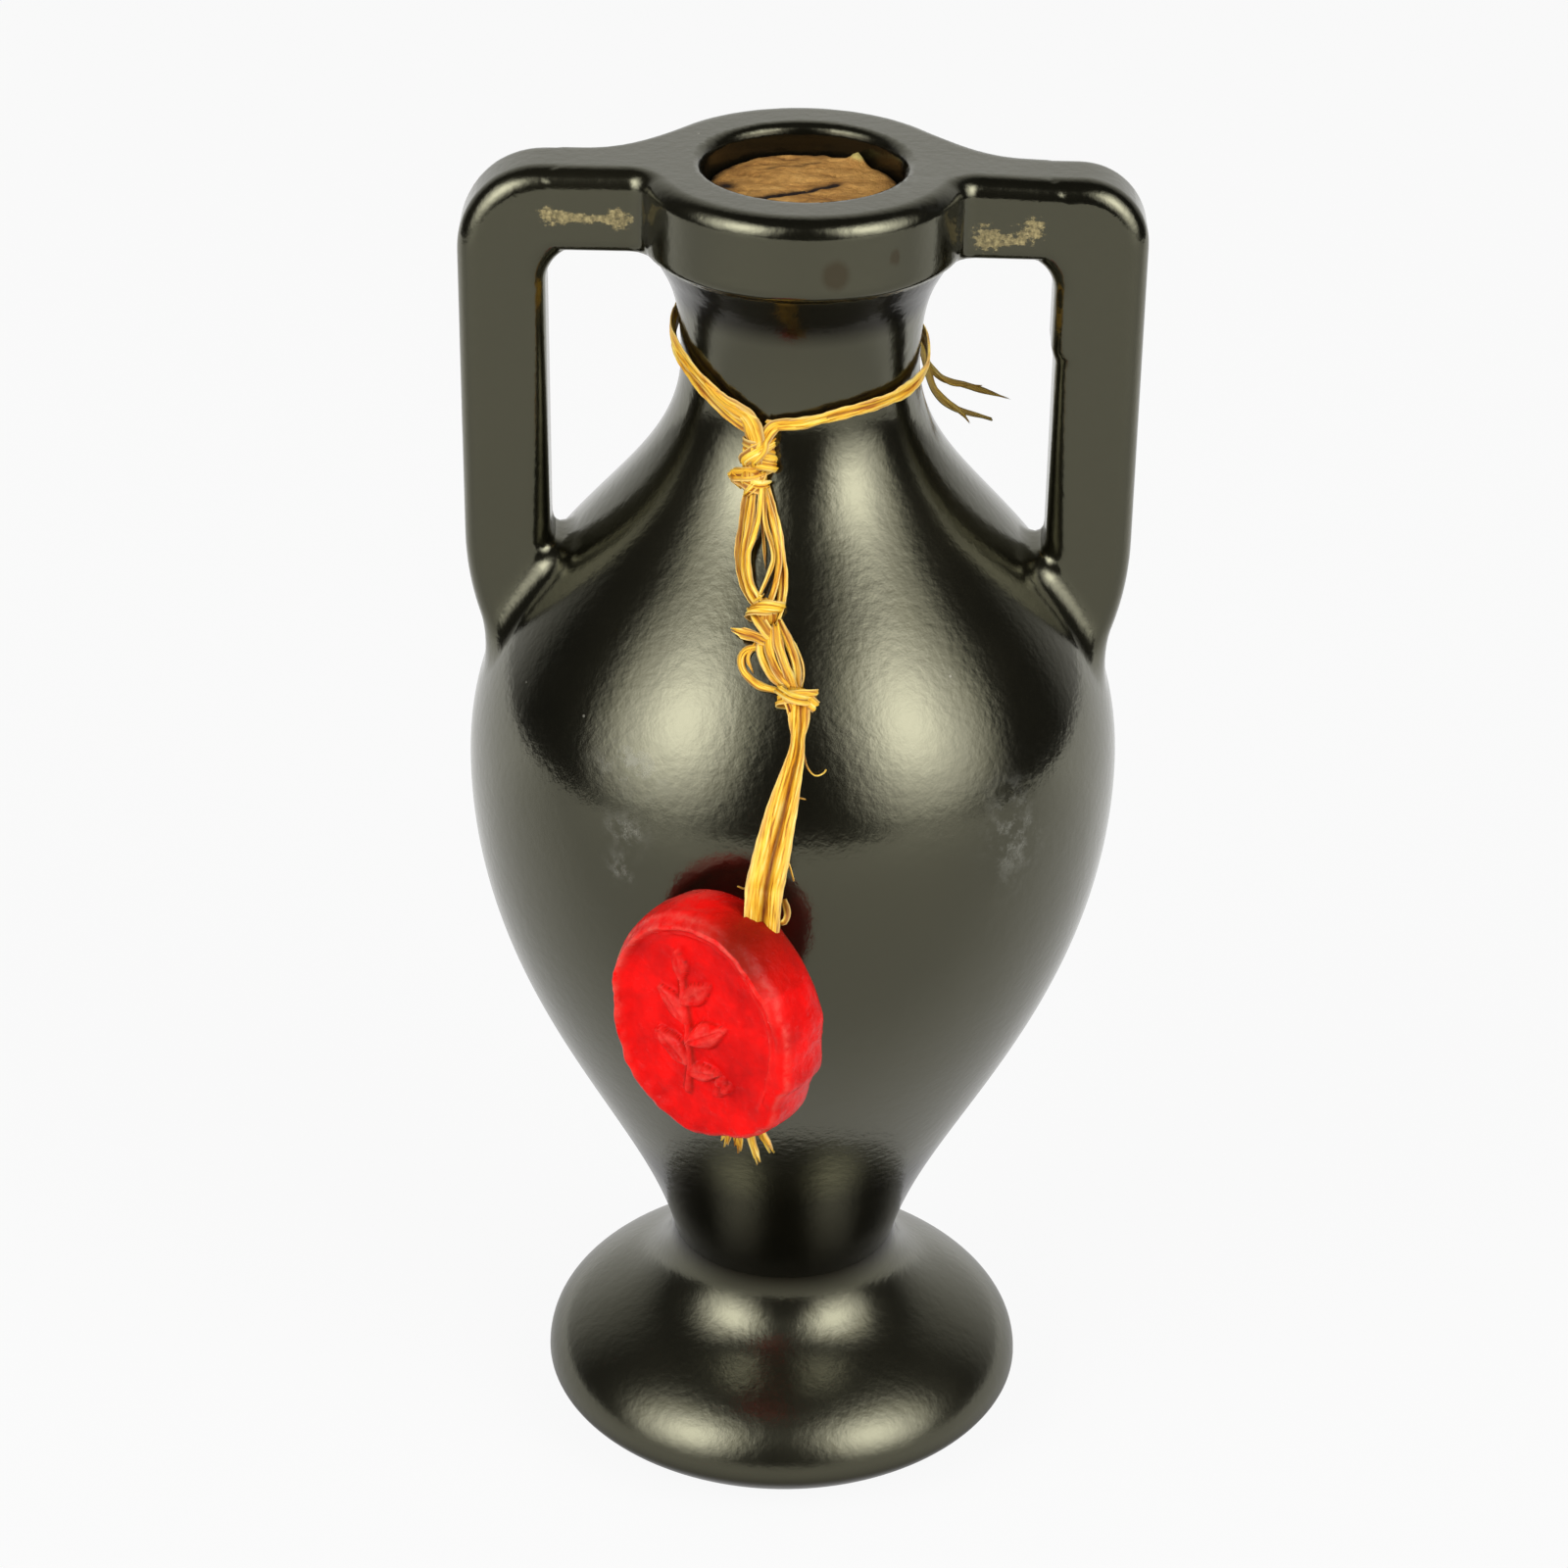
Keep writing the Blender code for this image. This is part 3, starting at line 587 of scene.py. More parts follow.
class Knot:
    """A knot on the front of the body: the ways right, down the slope and outward, and its slant."""

    ROWS, COLUMNS = 10, 16

    def __init__(self, at, slant):
        self.at = np.array(at)
        self.out = outward(self.at[None])[0]
        self.side = -unit(np.cross(self.out, (0, 0, 1.0)))
        self.down = np.cross(self.side, self.out)
        self.lean = unit(self.down + slant * self.side)

    def near(self, right, low, proud):
        return self.at + right * self.side + low * self.down + proud * self.out

    def lump(self, radii, seed, at=None):
        """The bound heart of a knot: a closed, ridged bead."""
        rng = np.random.default_rng(seed)
        phase = rng.uniform(0, 6.28, 3)
        v, u = np.meshgrid(math.pi * np.arange(1, self.ROWS) / self.ROWS,
                           CIRCLE * np.arange(self.COLUMNS) / self.COLUMNS, indexing="ij")
        grow = 1 + 0.08 * np.sin(5 * u + phase[0] + 2 * v) + 0.05 * np.sin(9 * u + phase[1])
        bead = np.stack((np.sin(v) * np.cos(u), np.sin(v) * np.sin(u), np.cos(v)), -1) * grow[..., None]
        bead = np.vstack((bead.reshape(-1, 3), [(0, 0, 1), (0, 0, -1)]))
        points = (self.at if at is None else at) + bead * radii @ np.stack((self.side, self.out, self.down))
        count = len(points)
        # A fixed middling rise gives the knot's heart a middling painted shade, and no painted edge
        # highlight.
        marks = {"along": points[:, 2], "across": points[:, 0], "tone": np.full(count, rng.uniform()),
                 "rise": np.full(count, 0.3), "edge": np.zeros(count), "dull": np.zeros(count)}
        return points, closed_rings(self.ROWS - 1, self.COLUMNS), marks

    def binding(self, low, radii, pitch, turns, start, width, seed, fold):
        """A strip wound round the knot's slant."""
        centre = self.near(0, low, 0)
        a = start + np.linspace(0, CIRCLE * turns, int(14 * turns) + 2)
        climb = pitch * ((a - start) / CIRCLE - turns / 2)
        route = (centre + np.outer(radii[0] * np.cos(a), self.side)
                 + np.outer(radii[1] * np.sin(a), self.out) + np.outer(climb, self.lean))

        def away(line):
            gap = line - centre
            return unit(gap - np.outer(gap @ self.lean, self.lean))

        return strip(route, width, seed, up=away, fold=fold)


def bundle(name, parts, body, *nodes):
    """Several strips as one piece of raffia."""
    starts = np.cumsum([0] + [len(points) for points, _, _ in parts])
    faces = [[i + start for i in face] for start, part in zip(starts, parts) for face in part[1]]
    marks = {key: np.concatenate([part[2][key] for part in parts]) for key in parts[0][2]}
    piece = mesh_piece(name, np.vstack([part[0] for part in parts]), faces, RAFFIA, marks=marks)
    return stands_for(piece, body, "raffia", *nodes)


def on_front(x, drop, lift):
    """Point in front of the body, at a place to the right and a drop below the neck's middle."""
    z = NECK_Z - drop
    r = outer_radius(z) + lift * math.hypot(1, outer_slope(z))
    return np.array((x, -math.sqrt(r * r - x * x), z))


# Materials

class Nodes:
    """A node tree, with short words for the nodes that finishes and lights are made of."""

    def __init__(self, tree):
        self.tree = tree
        self.where = None    # the coordinates that noise is read at

    def add(self, kind, **settings):
        node = self.tree.nodes.new(kind)
        for key, value in settings.items():
            if key in node.inputs:
                node.inputs[key].default_value = value
            else:
                setattr(node, key, value)
        return node

    def feed(self, socket, value):
        """Joins a socket to another node, or sets a number, a vector or a colour on it."""
        if isinstance(value, bpy.types.NodeSocket):
            self.tree.links.new(value, socket)
        else:
            socket.default_value = (*value, 1) if socket.type == "RGBA" else value

    def noise(self, scale, detail=3.0, rough=0.55, stretch=None):
        where = self.where
        if stretch is not None:
            bend = self.add("ShaderNodeMapping", Scale=stretch)
            self.feed(bend.inputs["Vector"], where)
            where = bend.outputs["Vector"]
        node = self.add("ShaderNodeTexNoise", Scale=scale, Detail=detail, Roughness=rough)
        self.feed(node.inputs["Vector"], where)
        return node.outputs["Fac"]

    def ramp(self, value, *stops):
        node = self.add("ShaderNodeValToRGB")
        elements = node.color_ramp.elements
        while len(elements) < len(stops):
            elements.new(0.5)
        for element, (place, colour) in zip(elements, stops):
            element.position = place
            element.color = (*colour, 1)
        self.feed(node.inputs["Fac"], value)
        return node.outputs["Color"]

    def fit(self, value, low, high, to_low=0.0, to_high=1.0):
        node = self.add("ShaderNodeMapRange")
        names = ("Value", "From Min", "From Max", "To Min", "To Max")
        for key, number in zip(names, (value, low, high, to_low, to_high)):
            self.feed(node.inputs[key], number)
        return node.outputs["Result"]

    def calc(self, operation, a, b):
        node = self.add("ShaderNodeMath", operation=operation)
        for socket, value in zip(node.inputs, (a, b)):
            self.feed(socket, value)
        return node.outputs["Value"]

    def plus(self, a, b):
        return self.calc("ADD", a, b)

    def times(self, a, b):
        return self.calc("MULTIPLY", a, b)

    def mix(self, factor, a, b, blend="MIX"):
        node = self.add("ShaderNodeMix", data_type="RGBA", blend_type=blend)
        for socket, value in zip([s for s in node.inputs if s.enabled], (factor, a, b)):
            self.feed(socket, value)
        return [s for s in node.outputs if s.enabled][0]

    def mark(self, name):
        return self.add("ShaderNodeAttribute", attribute_name=name).outputs["Fac"]

    def axes_of(self, vector):
        node = self.add("ShaderNodeSeparateXYZ")
        self.feed(node.inputs["Vector"], vector)
        return node.outputs


class Finish(Nodes):
    """A new material and its shader."""

    def __init__(self, name):
        self.made = bpy.data.materials.new(name)
        self.made.use_nodes = True
        super().__init__(self.made.node_tree)
        self.shader = self.tree.nodes["Principled BSDF"]

    def read_in_place(self):
        """Noise is read at the object's own coordinates."""
        self.where = self.add("ShaderNodeTexCoord").outputs["Object"]

    def set(self, sockets):
        for name, value in sockets.items():
            self.feed(self.shader.inputs[name], value)

    def bump(self, height, distance, strength=1.0):
        node = self.add("ShaderNodeBump", Strength=strength, Distance=distance)
        self.feed(node.inputs["Height"], height)
        self.set({"Normal": node.outputs["Normal"]})


def glaze_material():
    """Near-black olive glaze: satin gloss, fine mottling, dust, scuffs, worn gilding on the handles, and
    painted shade that dims its reflections in the hollows.
    """
    m = Finish("black_glaze")
    m.read_in_place()
    cloud = m.noise(55, 4)
    grain = m.noise(1100, 3, 0.6)
    colour = m.ramp(cloud, (0.3, (0.0022, 0.0021, 0.0013)), (0.7, (0.0056, 0.0050, 0.0028)))

    # Scuffs: pale rubbed places, broken up by the grain
    rubbed = m.times(m.mark("scuff"), m.fit(m.noise(520, 5, 0.75), 0.46, 0.62))
    colour = m.mix(rubbed, colour, (0.125, 0.125, 0.115))

    # Dust specks, in a quarter of the cells
    cells = m.add("ShaderNodeTexVoronoi", Scale=210)
    m.feed(cells.inputs["Vector"], m.where)
    chosen = m.add("ShaderNodeSeparateColor")
    m.feed(chosen.inputs["Color"], cells.outputs["Color"])
    speck = m.times(m.fit(cells.outputs["Distance"], 0.035, 0.02), m.fit(chosen.outputs["Red"], 0.72, 0.74))
    colour = m.mix(speck, colour, (0.16, 0.155, 0.13))

    # Worn gilding and stains
    flake = m.noise(1900, 5, 0.7, (0.6, 1.0, 1.0))
    gilt = m.plus(m.fit(m.mark("gilt"), 0.0, 1.0, -0.34, 0.17), flake)
    gilt = m.fit(gilt, 0.46, 0.56, 0.0, 0.92)
    gold = m.ramp(m.noise(2600, 4, 0.7), (0.35, (0.07, 0.052, 0.020)), (0.5, (0.22, 0.170, 0.070)),
                  (0.68, (0.46, 0.37, 0.17)))
    colour = m.mix(gilt, colour, gold)
    stain = m.fit(m.mark("stain"), 0.25, 0.6)
    colour = m.mix(stain, colour, (0.018, 0.011, 0.005))

    dull = m.plus(m.mark("satin"), m.plus(rubbed, gilt))
    rough = m.plus(m.fit(cloud, 0.25, 0.75, 0.13, 0.19), m.times(dull, 0.25))
    # Painted shade dims the reflections through the specular tint; stains dim them too, at half their
    # weight.
    painted_shade_and_stain = m.calc("MAXIMUM", m.times(stain, 0.5), m.mark("painted_shade_and_stain"))
    tint = m.mix(painted_shade_and_stain, (1.0, 0.97, 0.68), (0.15, 0.13, 0.085))
    m.set({"Base Color": colour, "Roughness": rough, "IOR": 2.0, "Specular Tint": tint})
    orange_peel = m.plus(m.times(grain, 0.5), m.times(m.noise(130, 2), 0.9))
    m.bump(orange_peel, 0.00006)
    return m.made


def cork_material():
    """Cut cork: warm tan with darker streaks, pores, pale crumbs and painted shade at its rim."""
    m = Finish("cut_cork")
    m.read_in_place()
    patch = m.noise(260, 5, 0.65)
    streak = m.noise(300, 4, 0.6, (0.6, 2.4, 1.0))
    grain = m.noise(1500, 4, 0.7)
    tone = m.plus(m.times(patch, 0.55), m.times(streak, 0.45))
    colour = m.ramp(tone, (0.3, (0.15, 0.050, 0.010)), (0.45, (0.48, 0.235, 0.055)),
                    (0.58, (0.72, 0.39, 0.105)), (0.75, (0.86, 0.58, 0.24)))
    dark = m.ramp(grain, (0.3, (0.25, 0.2, 0.16)), (0.7, (1, 1, 1)))
    colour = m.mix(0.35, colour, dark, "MULTIPLY")
    # Near black in the cracks and pores, and as painted shade near the bore's wall
    colour = m.mix(m.fit(m.mark("crack"), 0.0, 0.6), colour, (0.016, 0.007, 0.003))
    colour = m.mix(m.fit(m.mark("chip"), 0.3, 0.6), colour, (0.52, 0.42, 0.13))
    m.set({"Base Color": colour, "Roughness": 0.82, "Specular IOR Level": 0.3})
    m.bump(m.plus(grain, streak), 0.0003, 0.9)
    return m.made


def raffia_material():
    """Dry raffia: golden, silky, with fibres running along each strip, painted shade in the hollows of its
    folds and painted highlights along its edges.
    """
    m = Finish("raffia_fibre")
    place = m.add("ShaderNodeCombineXYZ")
    for axis, name, scale in (("X", "across", 2.6), ("Y", "along", 0.16), ("Z", "tone", 40)):
        m.feed(place.inputs[axis], m.times(m.mark(name), scale))
    m.where = place.outputs["Vector"]
    fibre = m.noise(2.2, 4, 0.5)
    broad = m.noise(0.7, 2)
    colour = m.ramp(fibre, (0.34, (0.44, 0.150, 0.006)), (0.45, (0.90, 0.48, 0.026)),
                    (0.57, (1.0, 0.70, 0.068)), (0.70, (1.0, 0.90, 0.36)))
    shade = m.ramp(broad, (0.3, (0.80, 0.70, 0.55)), (0.65, (1, 1, 1)))
    colour = m.mix(0.7, colour, shade, "MULTIPLY")
    # Painted shade in the hollows of each strip's folds, read from its rise
    painted_crease_shade = m.ramp(m.mark("rise"), (0.08, (0.30, 0.13, 0.03)), (0.45, (0.86, 0.74, 0.5)),
                    (0.8, (1, 1, 1)))
    colour = m.mix(0.9, colour, painted_crease_shade, "MULTIPLY")
    # Painted highlight along the strip's edges
    colour = m.mix(m.mark("edge"), colour, (1.0, 0.80, 0.32))
    colour = m.mix(m.mark("dull"), colour, (0.34, 0.25, 0.065))
    m.set({"Base Color": colour, "Roughness": m.fit(fibre, 0.3, 0.7, 0.62, 0.4), "Specular IOR Level": 0.3})
    m.bump(fibre, 0.00009, 0.8)
    return m.made


def wax_material():
    """Red sealing wax: satin, a little see-through, with rubbed ridges, tan crumbs and painted shade round
    the sprig and on its top wall.
    """
    m = Finish("sealing_wax")
    m.read_in_place()
    cloud = m.noise(160, 4, 0.6)
    grain = m.noise(900, 4, 0.65)
    colour = m.ramp(cloud, (0.32, (0.50, 0.004, 0.004)), (0.62, (0.92, 0.006, 0.005)))
    rubbed = m.times(m.mark("rubbed"), m.fit(grain, 0.35, 0.65))
    colour = m.mix(rubbed, colour, (0.80, 0.10, 0.075))
    # Painted shade round the sprig's outline and on the wall where the band goes in
    colour = m.mix(m.mark("painted_wax_shade"), colour, (0.16, 0.010, 0.003))
    crumb = m.times(m.mark("crumb"), m.fit(m.noise(520, 3), 0.47, 0.55))
    colour = m.mix(m.fit(crumb, 0.3, 0.6), colour, (0.62, 0.26, 0.10))
    m.set({"Base Color": colour, "Roughness": m.fit(grain, 0.3, 0.7, 0.16, 0.3), "Specular IOR Level": 0.08,
           "Subsurface Weight": 0.2, "Subsurface Radius": (1.0, 0.18, 0.12), "Subsurface Scale": 0.0012})
    m.bump(m.plus(m.times(grain, 0.5), cloud), 0.0004, 0.8)
    return m.made


GLAZE = glaze_material()
CORK = cork_material()
RAFFIA = raffia_material()
WAX = wax_material()


# Ceramic

def blob(points, centre, size):
    """A soft spot: 1 at the centre, falling off over its size along each axis."""
    gap = (points - np.array(centre)) / np.array(size)
    return np.exp(-(gap**2).sum(1))


# Worn places: centre and size along each axis
SPOTS = {
    "scuff": (((-14.6, -25.0, 86.5), (3.2, 3, 1.9)), ((-15.2, -26.6, 80.6), (1.6, 3, 1.3)),
              ((-15.4, -26.8, 76.9), (1.1, 3, 1.0)), ((20.0, -22.0, 79.0), (2.6, 3, 4.0)),
              ((8.8, -3, 135), (3.0, 5, 0.6))),
    "gilt": (((-22.2, -3.8, 131.2), (2.3, 0.5, 1.1)), ((-16.4, -3.8, 131.0), (1.5, 0.5, 1.3)),
             ((-19.2, -3.8, 131.0), (2.0, 0.5, 0.45)), ((16.6, -3.8, 129.9), (1.7, 0.5, 1.8)),
             ((20.7, -3.8, 130.7), (1.5, 0.5, 1.5)), ((18.6, -3.8, 129.6), (1.6, 0.5, 0.4))),
    "stain": (((3.0, -14.6, 130.4), (1.3, 0.9, 1.5)), ((8.2, -12.5, 131.4), (0.5, 0.6, 0.9))),
}


# Heights between which painted shade dims the glaze's reflections and the foot's glaze turns satin, and how
# much
WAIST_SHADE = ((38, 33), (19, 21))
MOUTH_SHADE, MOUTH_SHADE_Z = 0.8, (100, 105)
NECK_SHADE_Z = ((122, 124), (NECK_TOP, NECK_TOP - 0.4))
RING_SHADE, RING_SHADE_Z = 0.8, (6.2, 5.0)
FOOT_SATIN, FOOT_SATIN_Z = 0.28, (21, 17)


def wear_and_painted_shade(points):
    """Wear, stains and painted shade of the glaze at each point.

    Painted shade dims the glaze's reflections in the hollow at the waist, in the mouth, under the rim and
    at the foot's edge; the glaze is satin on the foot.
    """
    z = points[:, 2]
    radius = np.hypot(points[:, 0], points[:, 1])
    outside = radius > MOUTH_R + 0.15
    on_neck = outside & (radius < RIM_R + 1)
    waist = slide(z, *WAIST_SHADE[0]) * slide(z, *WAIST_SHADE[1])
    in_mouth = MOUTH_SHADE * ~outside * slide(z, *MOUTH_SHADE_Z)
    under_rim = on_neck * slide(z, *NECK_SHADE_Z[0]) * slide(z, *NECK_SHADE_Z[1])
    rest_ring = RING_SHADE * slide(z, *RING_SHADE_Z)
    marks = {name: sum(blob(points, *spot) for spot in spots) for name, spots in SPOTS.items()}
    # Painted shade in the glaze's reflections at the waist, in the mouth, under the rim and at the resting
    # ring
    marks["painted_shade_and_stain"] = np.max((waist, in_mouth, under_rim, rest_ring), axis=0)
    marks["satin"] = FOOT_SATIN * slide(z, *FOOT_SATIN_Z)
    return marks


# Grid that the pot's surface is found on, finer at the handles and rim: from, to and step
GRID_WIDE = ((-33, -18, 0.6), (-18, -10, 0.42), (-10, 10, 0.75), (10, 18, 0.42), (18, 33.5, 0.6))
GRID_DEEP = ((-33, -9, 0.72), (-9, 9, 0.5), (9, 33.5, 0.72))
GRID_LEVELS = ((18.77, 88, 1.1), (88, 122, 0.72), (122, 137, 0.42))
GRID_SHIFT = (0.013, 0.017, 0)   # keeps the grid off the planes of symmetry
HANDLE_PARTING = 0.3         # how far outside the turned body the handles are parted from it
CAP_DEPTH = 0.25
NORMAL_REACH = 0.2


def make_pot():
    """Body and handles: one flowing glazed surface, parted where the handles were luted on."""
    axes = [np.concatenate([np.arange(*stretch) for stretch in stretches]) + shift
            for stretches, shift in zip((GRID_WIDE, GRID_DEEP, GRID_LEVELS), GRID_SHIFT)]
    points, quads = surface_net(pot_field, axes)
    points = relax(pot_field, points, quads)
    normals = gradient(pot_field, points, NORMAL_REACH)
    middle = points[quads].mean(1)
    outside = (lathe_field(middle) > HANDLE_PARTING) & (np.abs(middle[:, 0]) > BAR_START)
    for name, part, lift in (("vessel_body", ~outside, -CAP_DEPTH),
                             ("handle_left", outside & (middle[:, 0] < 0), CAP_DEPTH),
                             ("handle_right", outside & (middle[:, 0] > 0), CAP_DEPTH)):
        patch, turned, faces = closed_patch(points, normals, quads[part], lift)
        piece = mesh_piece("glazed_" + name, patch, faces, GLAZE, turned, wear_and_painted_shade(patch))
        stands_for(piece, "vase", "glaze", name)


# A hand-finished foot is never quite round: waves round it, their size and phase
FOOT_WAVES = ((3, 0.0025, 0.8), (5, 0.0015, 0.0))
FOOT_WAVES_Z = (WAIST_Z - 4, WAIST_Z - 14)


def make_foot():
    """The turned foot: a stem, a domed flare, a rolled edge, a resting ring and a hollow under it."""
    mid = np.array((WAIST_R + FOOT_MID[0], WAIST_Z - FOOT_MID[1]))
    fall = np.array((math.cos(FOOT_FALL), -math.sin(FOOT_FALL)))
    stem = bezier((WAIST_R, WAIST_Z), (WAIST_R + FOOT_STEM[0], WAIST_Z - FOOT_STEM[1]),
                  mid - FOOT_PULL[0] * fall, mid, 30)
    dome = bezier(mid, mid + FOOT_PULL[1] * fall,
                  (FOOT_R, FOOT_EDGE_Z + FOOT_DOME), (FOOT_R, FOOT_EDGE_Z), 26)
    roll = bezier((FOOT_R, FOOT_EDGE_Z), (FOOT_R, FOOT_EDGE_Z - FOOT_ROLL),
                  (FOOT_REST_R + FOOT_TUCK[0], FOOT_TUCK[1]), (FOOT_REST_R, 0), 18)
    ring_in = FOOT_REST_R - FOOT_REST_W
    hollow = bezier((ring_in, 0), (ring_in, HOLLOW_H / 2), (HOLLOW_R, HOLLOW_H / 2),
                    (HOLLOW_R, HOLLOW_H), 14)
    lap = (WAIST_R - LAP * FOOT_STEM[0] / FOOT_STEM[1], WAIST_Z + LAP)
    profile = np.vstack(([[0, WAIST_Z + LAP], lap], stem, dome[1:], roll[1:], hollow, [[0, HOLLOW_H]]))
    points, faces = turned_mesh(profile, 144)
    turn = np.arctan2(points[:, 1], points[:, 0])
    low = slide(points[:, 2], *FOOT_WAVES_Z)
    points[:, :2] *= (1 + sum(size * low * np.sin(k * turn + at) for k, size, at in FOOT_WAVES))[:, None]
    piece = mesh_piece("glazed_foot", points, faces, GLAZE, marks=wear_and_painted_shade(points))
    stands_for(piece, "vase", "glaze", "foot")


# Cork

CRACK = np.array([(-4.0, -2.6), (-2.5, -1.9), (-0.8, -0.9), (-0.1, -0.7), (1.3, 0.0), (2.8, 0.9)])
FINE_CRACK = np.array([(-3.3, 4.7), (-0.9, 5.6), (1.3, 6.6)])
CRACK_W, CRACK_W_MORE, FINE_CRACK_W = 0.42, 0.16, 0.22
CHIP, CHIP_R = (4.9, 6.8), 0.75
NICK, NICK_R = (-7.0, 0.2), 0.8
CRACK_DEPTH, PIT_DEPTH, EDGE_FALL = 0.25, 0.9, 0.22
PIT_SHARE = 0.55             # only waves above this are pits
FALL_W, RIM_SHADE_W = 1.4, 0.75   # how far in from the edge the top falls, and how far painted shade reaches in
CORK_EDGE = 0.5              # height of its rounded top edge


def waves(points, seed, scale):
    """Smooth seeded unevenness, about -1 to 1, with finer waves on top of broad ones."""
    rng = np.random.default_rng(seed)
    total = np.zeros(len(points))
    for k in range(4):
        for _ in range(5):
            way = rng.normal(size=points.shape[1])
            way *= scale * 1.9**k / np.linalg.norm(way)
            total += np.sin(points @ way + rng.uniform(0, 6.28)) / (5 * 1.55**k)
    return total


def make_cork():
    """The cork: a tapered plug with a rough cut top, cracked, pitted and chipped, with painted shade at its
    rim.
    """
    low_z = CORK_TOP - CORK_L
    top_r, low_r = bore_radius(CORK_TOP) - CORK_FIT, bore_radius(low_z) - CORK_FIT
    cut = [(r, CORK_TOP) for r in np.linspace(0, top_r - 0.45, 42)]
    edge = [(top_r - 0.15, CORK_TOP - 0.12), (top_r, CORK_TOP - CORK_EDGE)]
    down = [(top_r + (low_r - top_r) * t, CORK_TOP - CORK_EDGE + (low_z + 1 - CORK_TOP) * t)
            for t in np.linspace(0, 1, 26)[1:]]
    under = [(low_r - 0.5, low_z), (low_r / 2, low_z), (0, low_z)]
    points, faces = turned_mesh(np.array(cut + edge + down + under), 120)

    flat = points[:, :2].copy()
    top = np.clip((points[:, 2] - CORK_TOP + 0.6) / 0.5, 0, 1)
    crack = bell(line_gap(flat, CRACK), CRACK_W + CRACK_W_MORE * waves(flat, 23, 1.5)) * top
    fine = 0.45 * bell(line_gap(flat, FINE_CRACK), FINE_CRACK_W) * top
    nick = 0.7 * blob(flat, NICK, NICK_R) * top
    crack = np.max((crack, fine, nick), axis=0)
    chip = blob(flat, CHIP, CHIP_R) * top
    rough = 0.14 * waves(flat, 3, 1.1) + 0.10 * np.abs(waves(flat * (0.7, 2.0), 4, 1.6))
    pits = np.clip(waves(flat * (0.8, 1.8), 6, 2.2) - PIT_SHARE, 0, 1)
    inset = np.hypot(*flat.T) - top_r
    fall = np.clip((inset + FALL_W) / FALL_W, 0, 1) ** 2
    # Painted shade: the top darkens towards the bore's wall, with an uneven reach
    painted_rim_shade = 0.85 * np.clip((inset + RIM_SHADE_W + 0.45 * waves(flat, 21, 0.7)) / 0.7, 0, 1)
    points[:, 2] += top * (rough - CRACK_DEPTH * crack - PIT_DEPTH * pits - EDGE_FALL * fall + chip)

    # Pores along the wall
    wall = (1 - top) * np.clip((points[:, 2] - low_z) / 1.5, 0, 1)
    around = np.column_stack((np.arctan2(flat[:, 1], flat[:, 0]) * 8, points[:, 2]))
    points[:, :2] *= (1 - 0.012 * wall * np.clip(waves(around, 9, 0.9), 0, 1))[:, None]
    # The crack mark carries the cracks, the pits and the painted shade at the rim.
    piece = mesh_piece("cut_cork", points, faces, CORK,
                       marks={"crack": np.clip(crack + 0.5 * pits + 0.6 * painted_rim_shade, 0, 1), "chip": chip})
    stands_for(piece, "stopper", "cork", "cork")


# Raffia tie

def loop_route(turn_from, turn_to, drop=0.0, lift=0.75, steps=60):
    """Points round the neck from one turn past the knot to another, in radians."""
    knot = on_front(*NECK_KNOT, 0)
    turn = np.linspace(turn_from, turn_to, steps)
    a = math.atan2(knot[1], knot[0]) + turn
    z = (NECK_Z + LOOP_LIFT - LOOP_TILT[0] * np.cos(a) + LOOP_TILT[1] * np.sin(a)
         - LOOP_DIP * bell(np.minimum(turn, CIRCLE - turn), LOOP_DIP_TURN) - drop)
    r = outer_radius(z) + lift
    return np.column_stack((r * np.cos(a), r * np.sin(a), z))


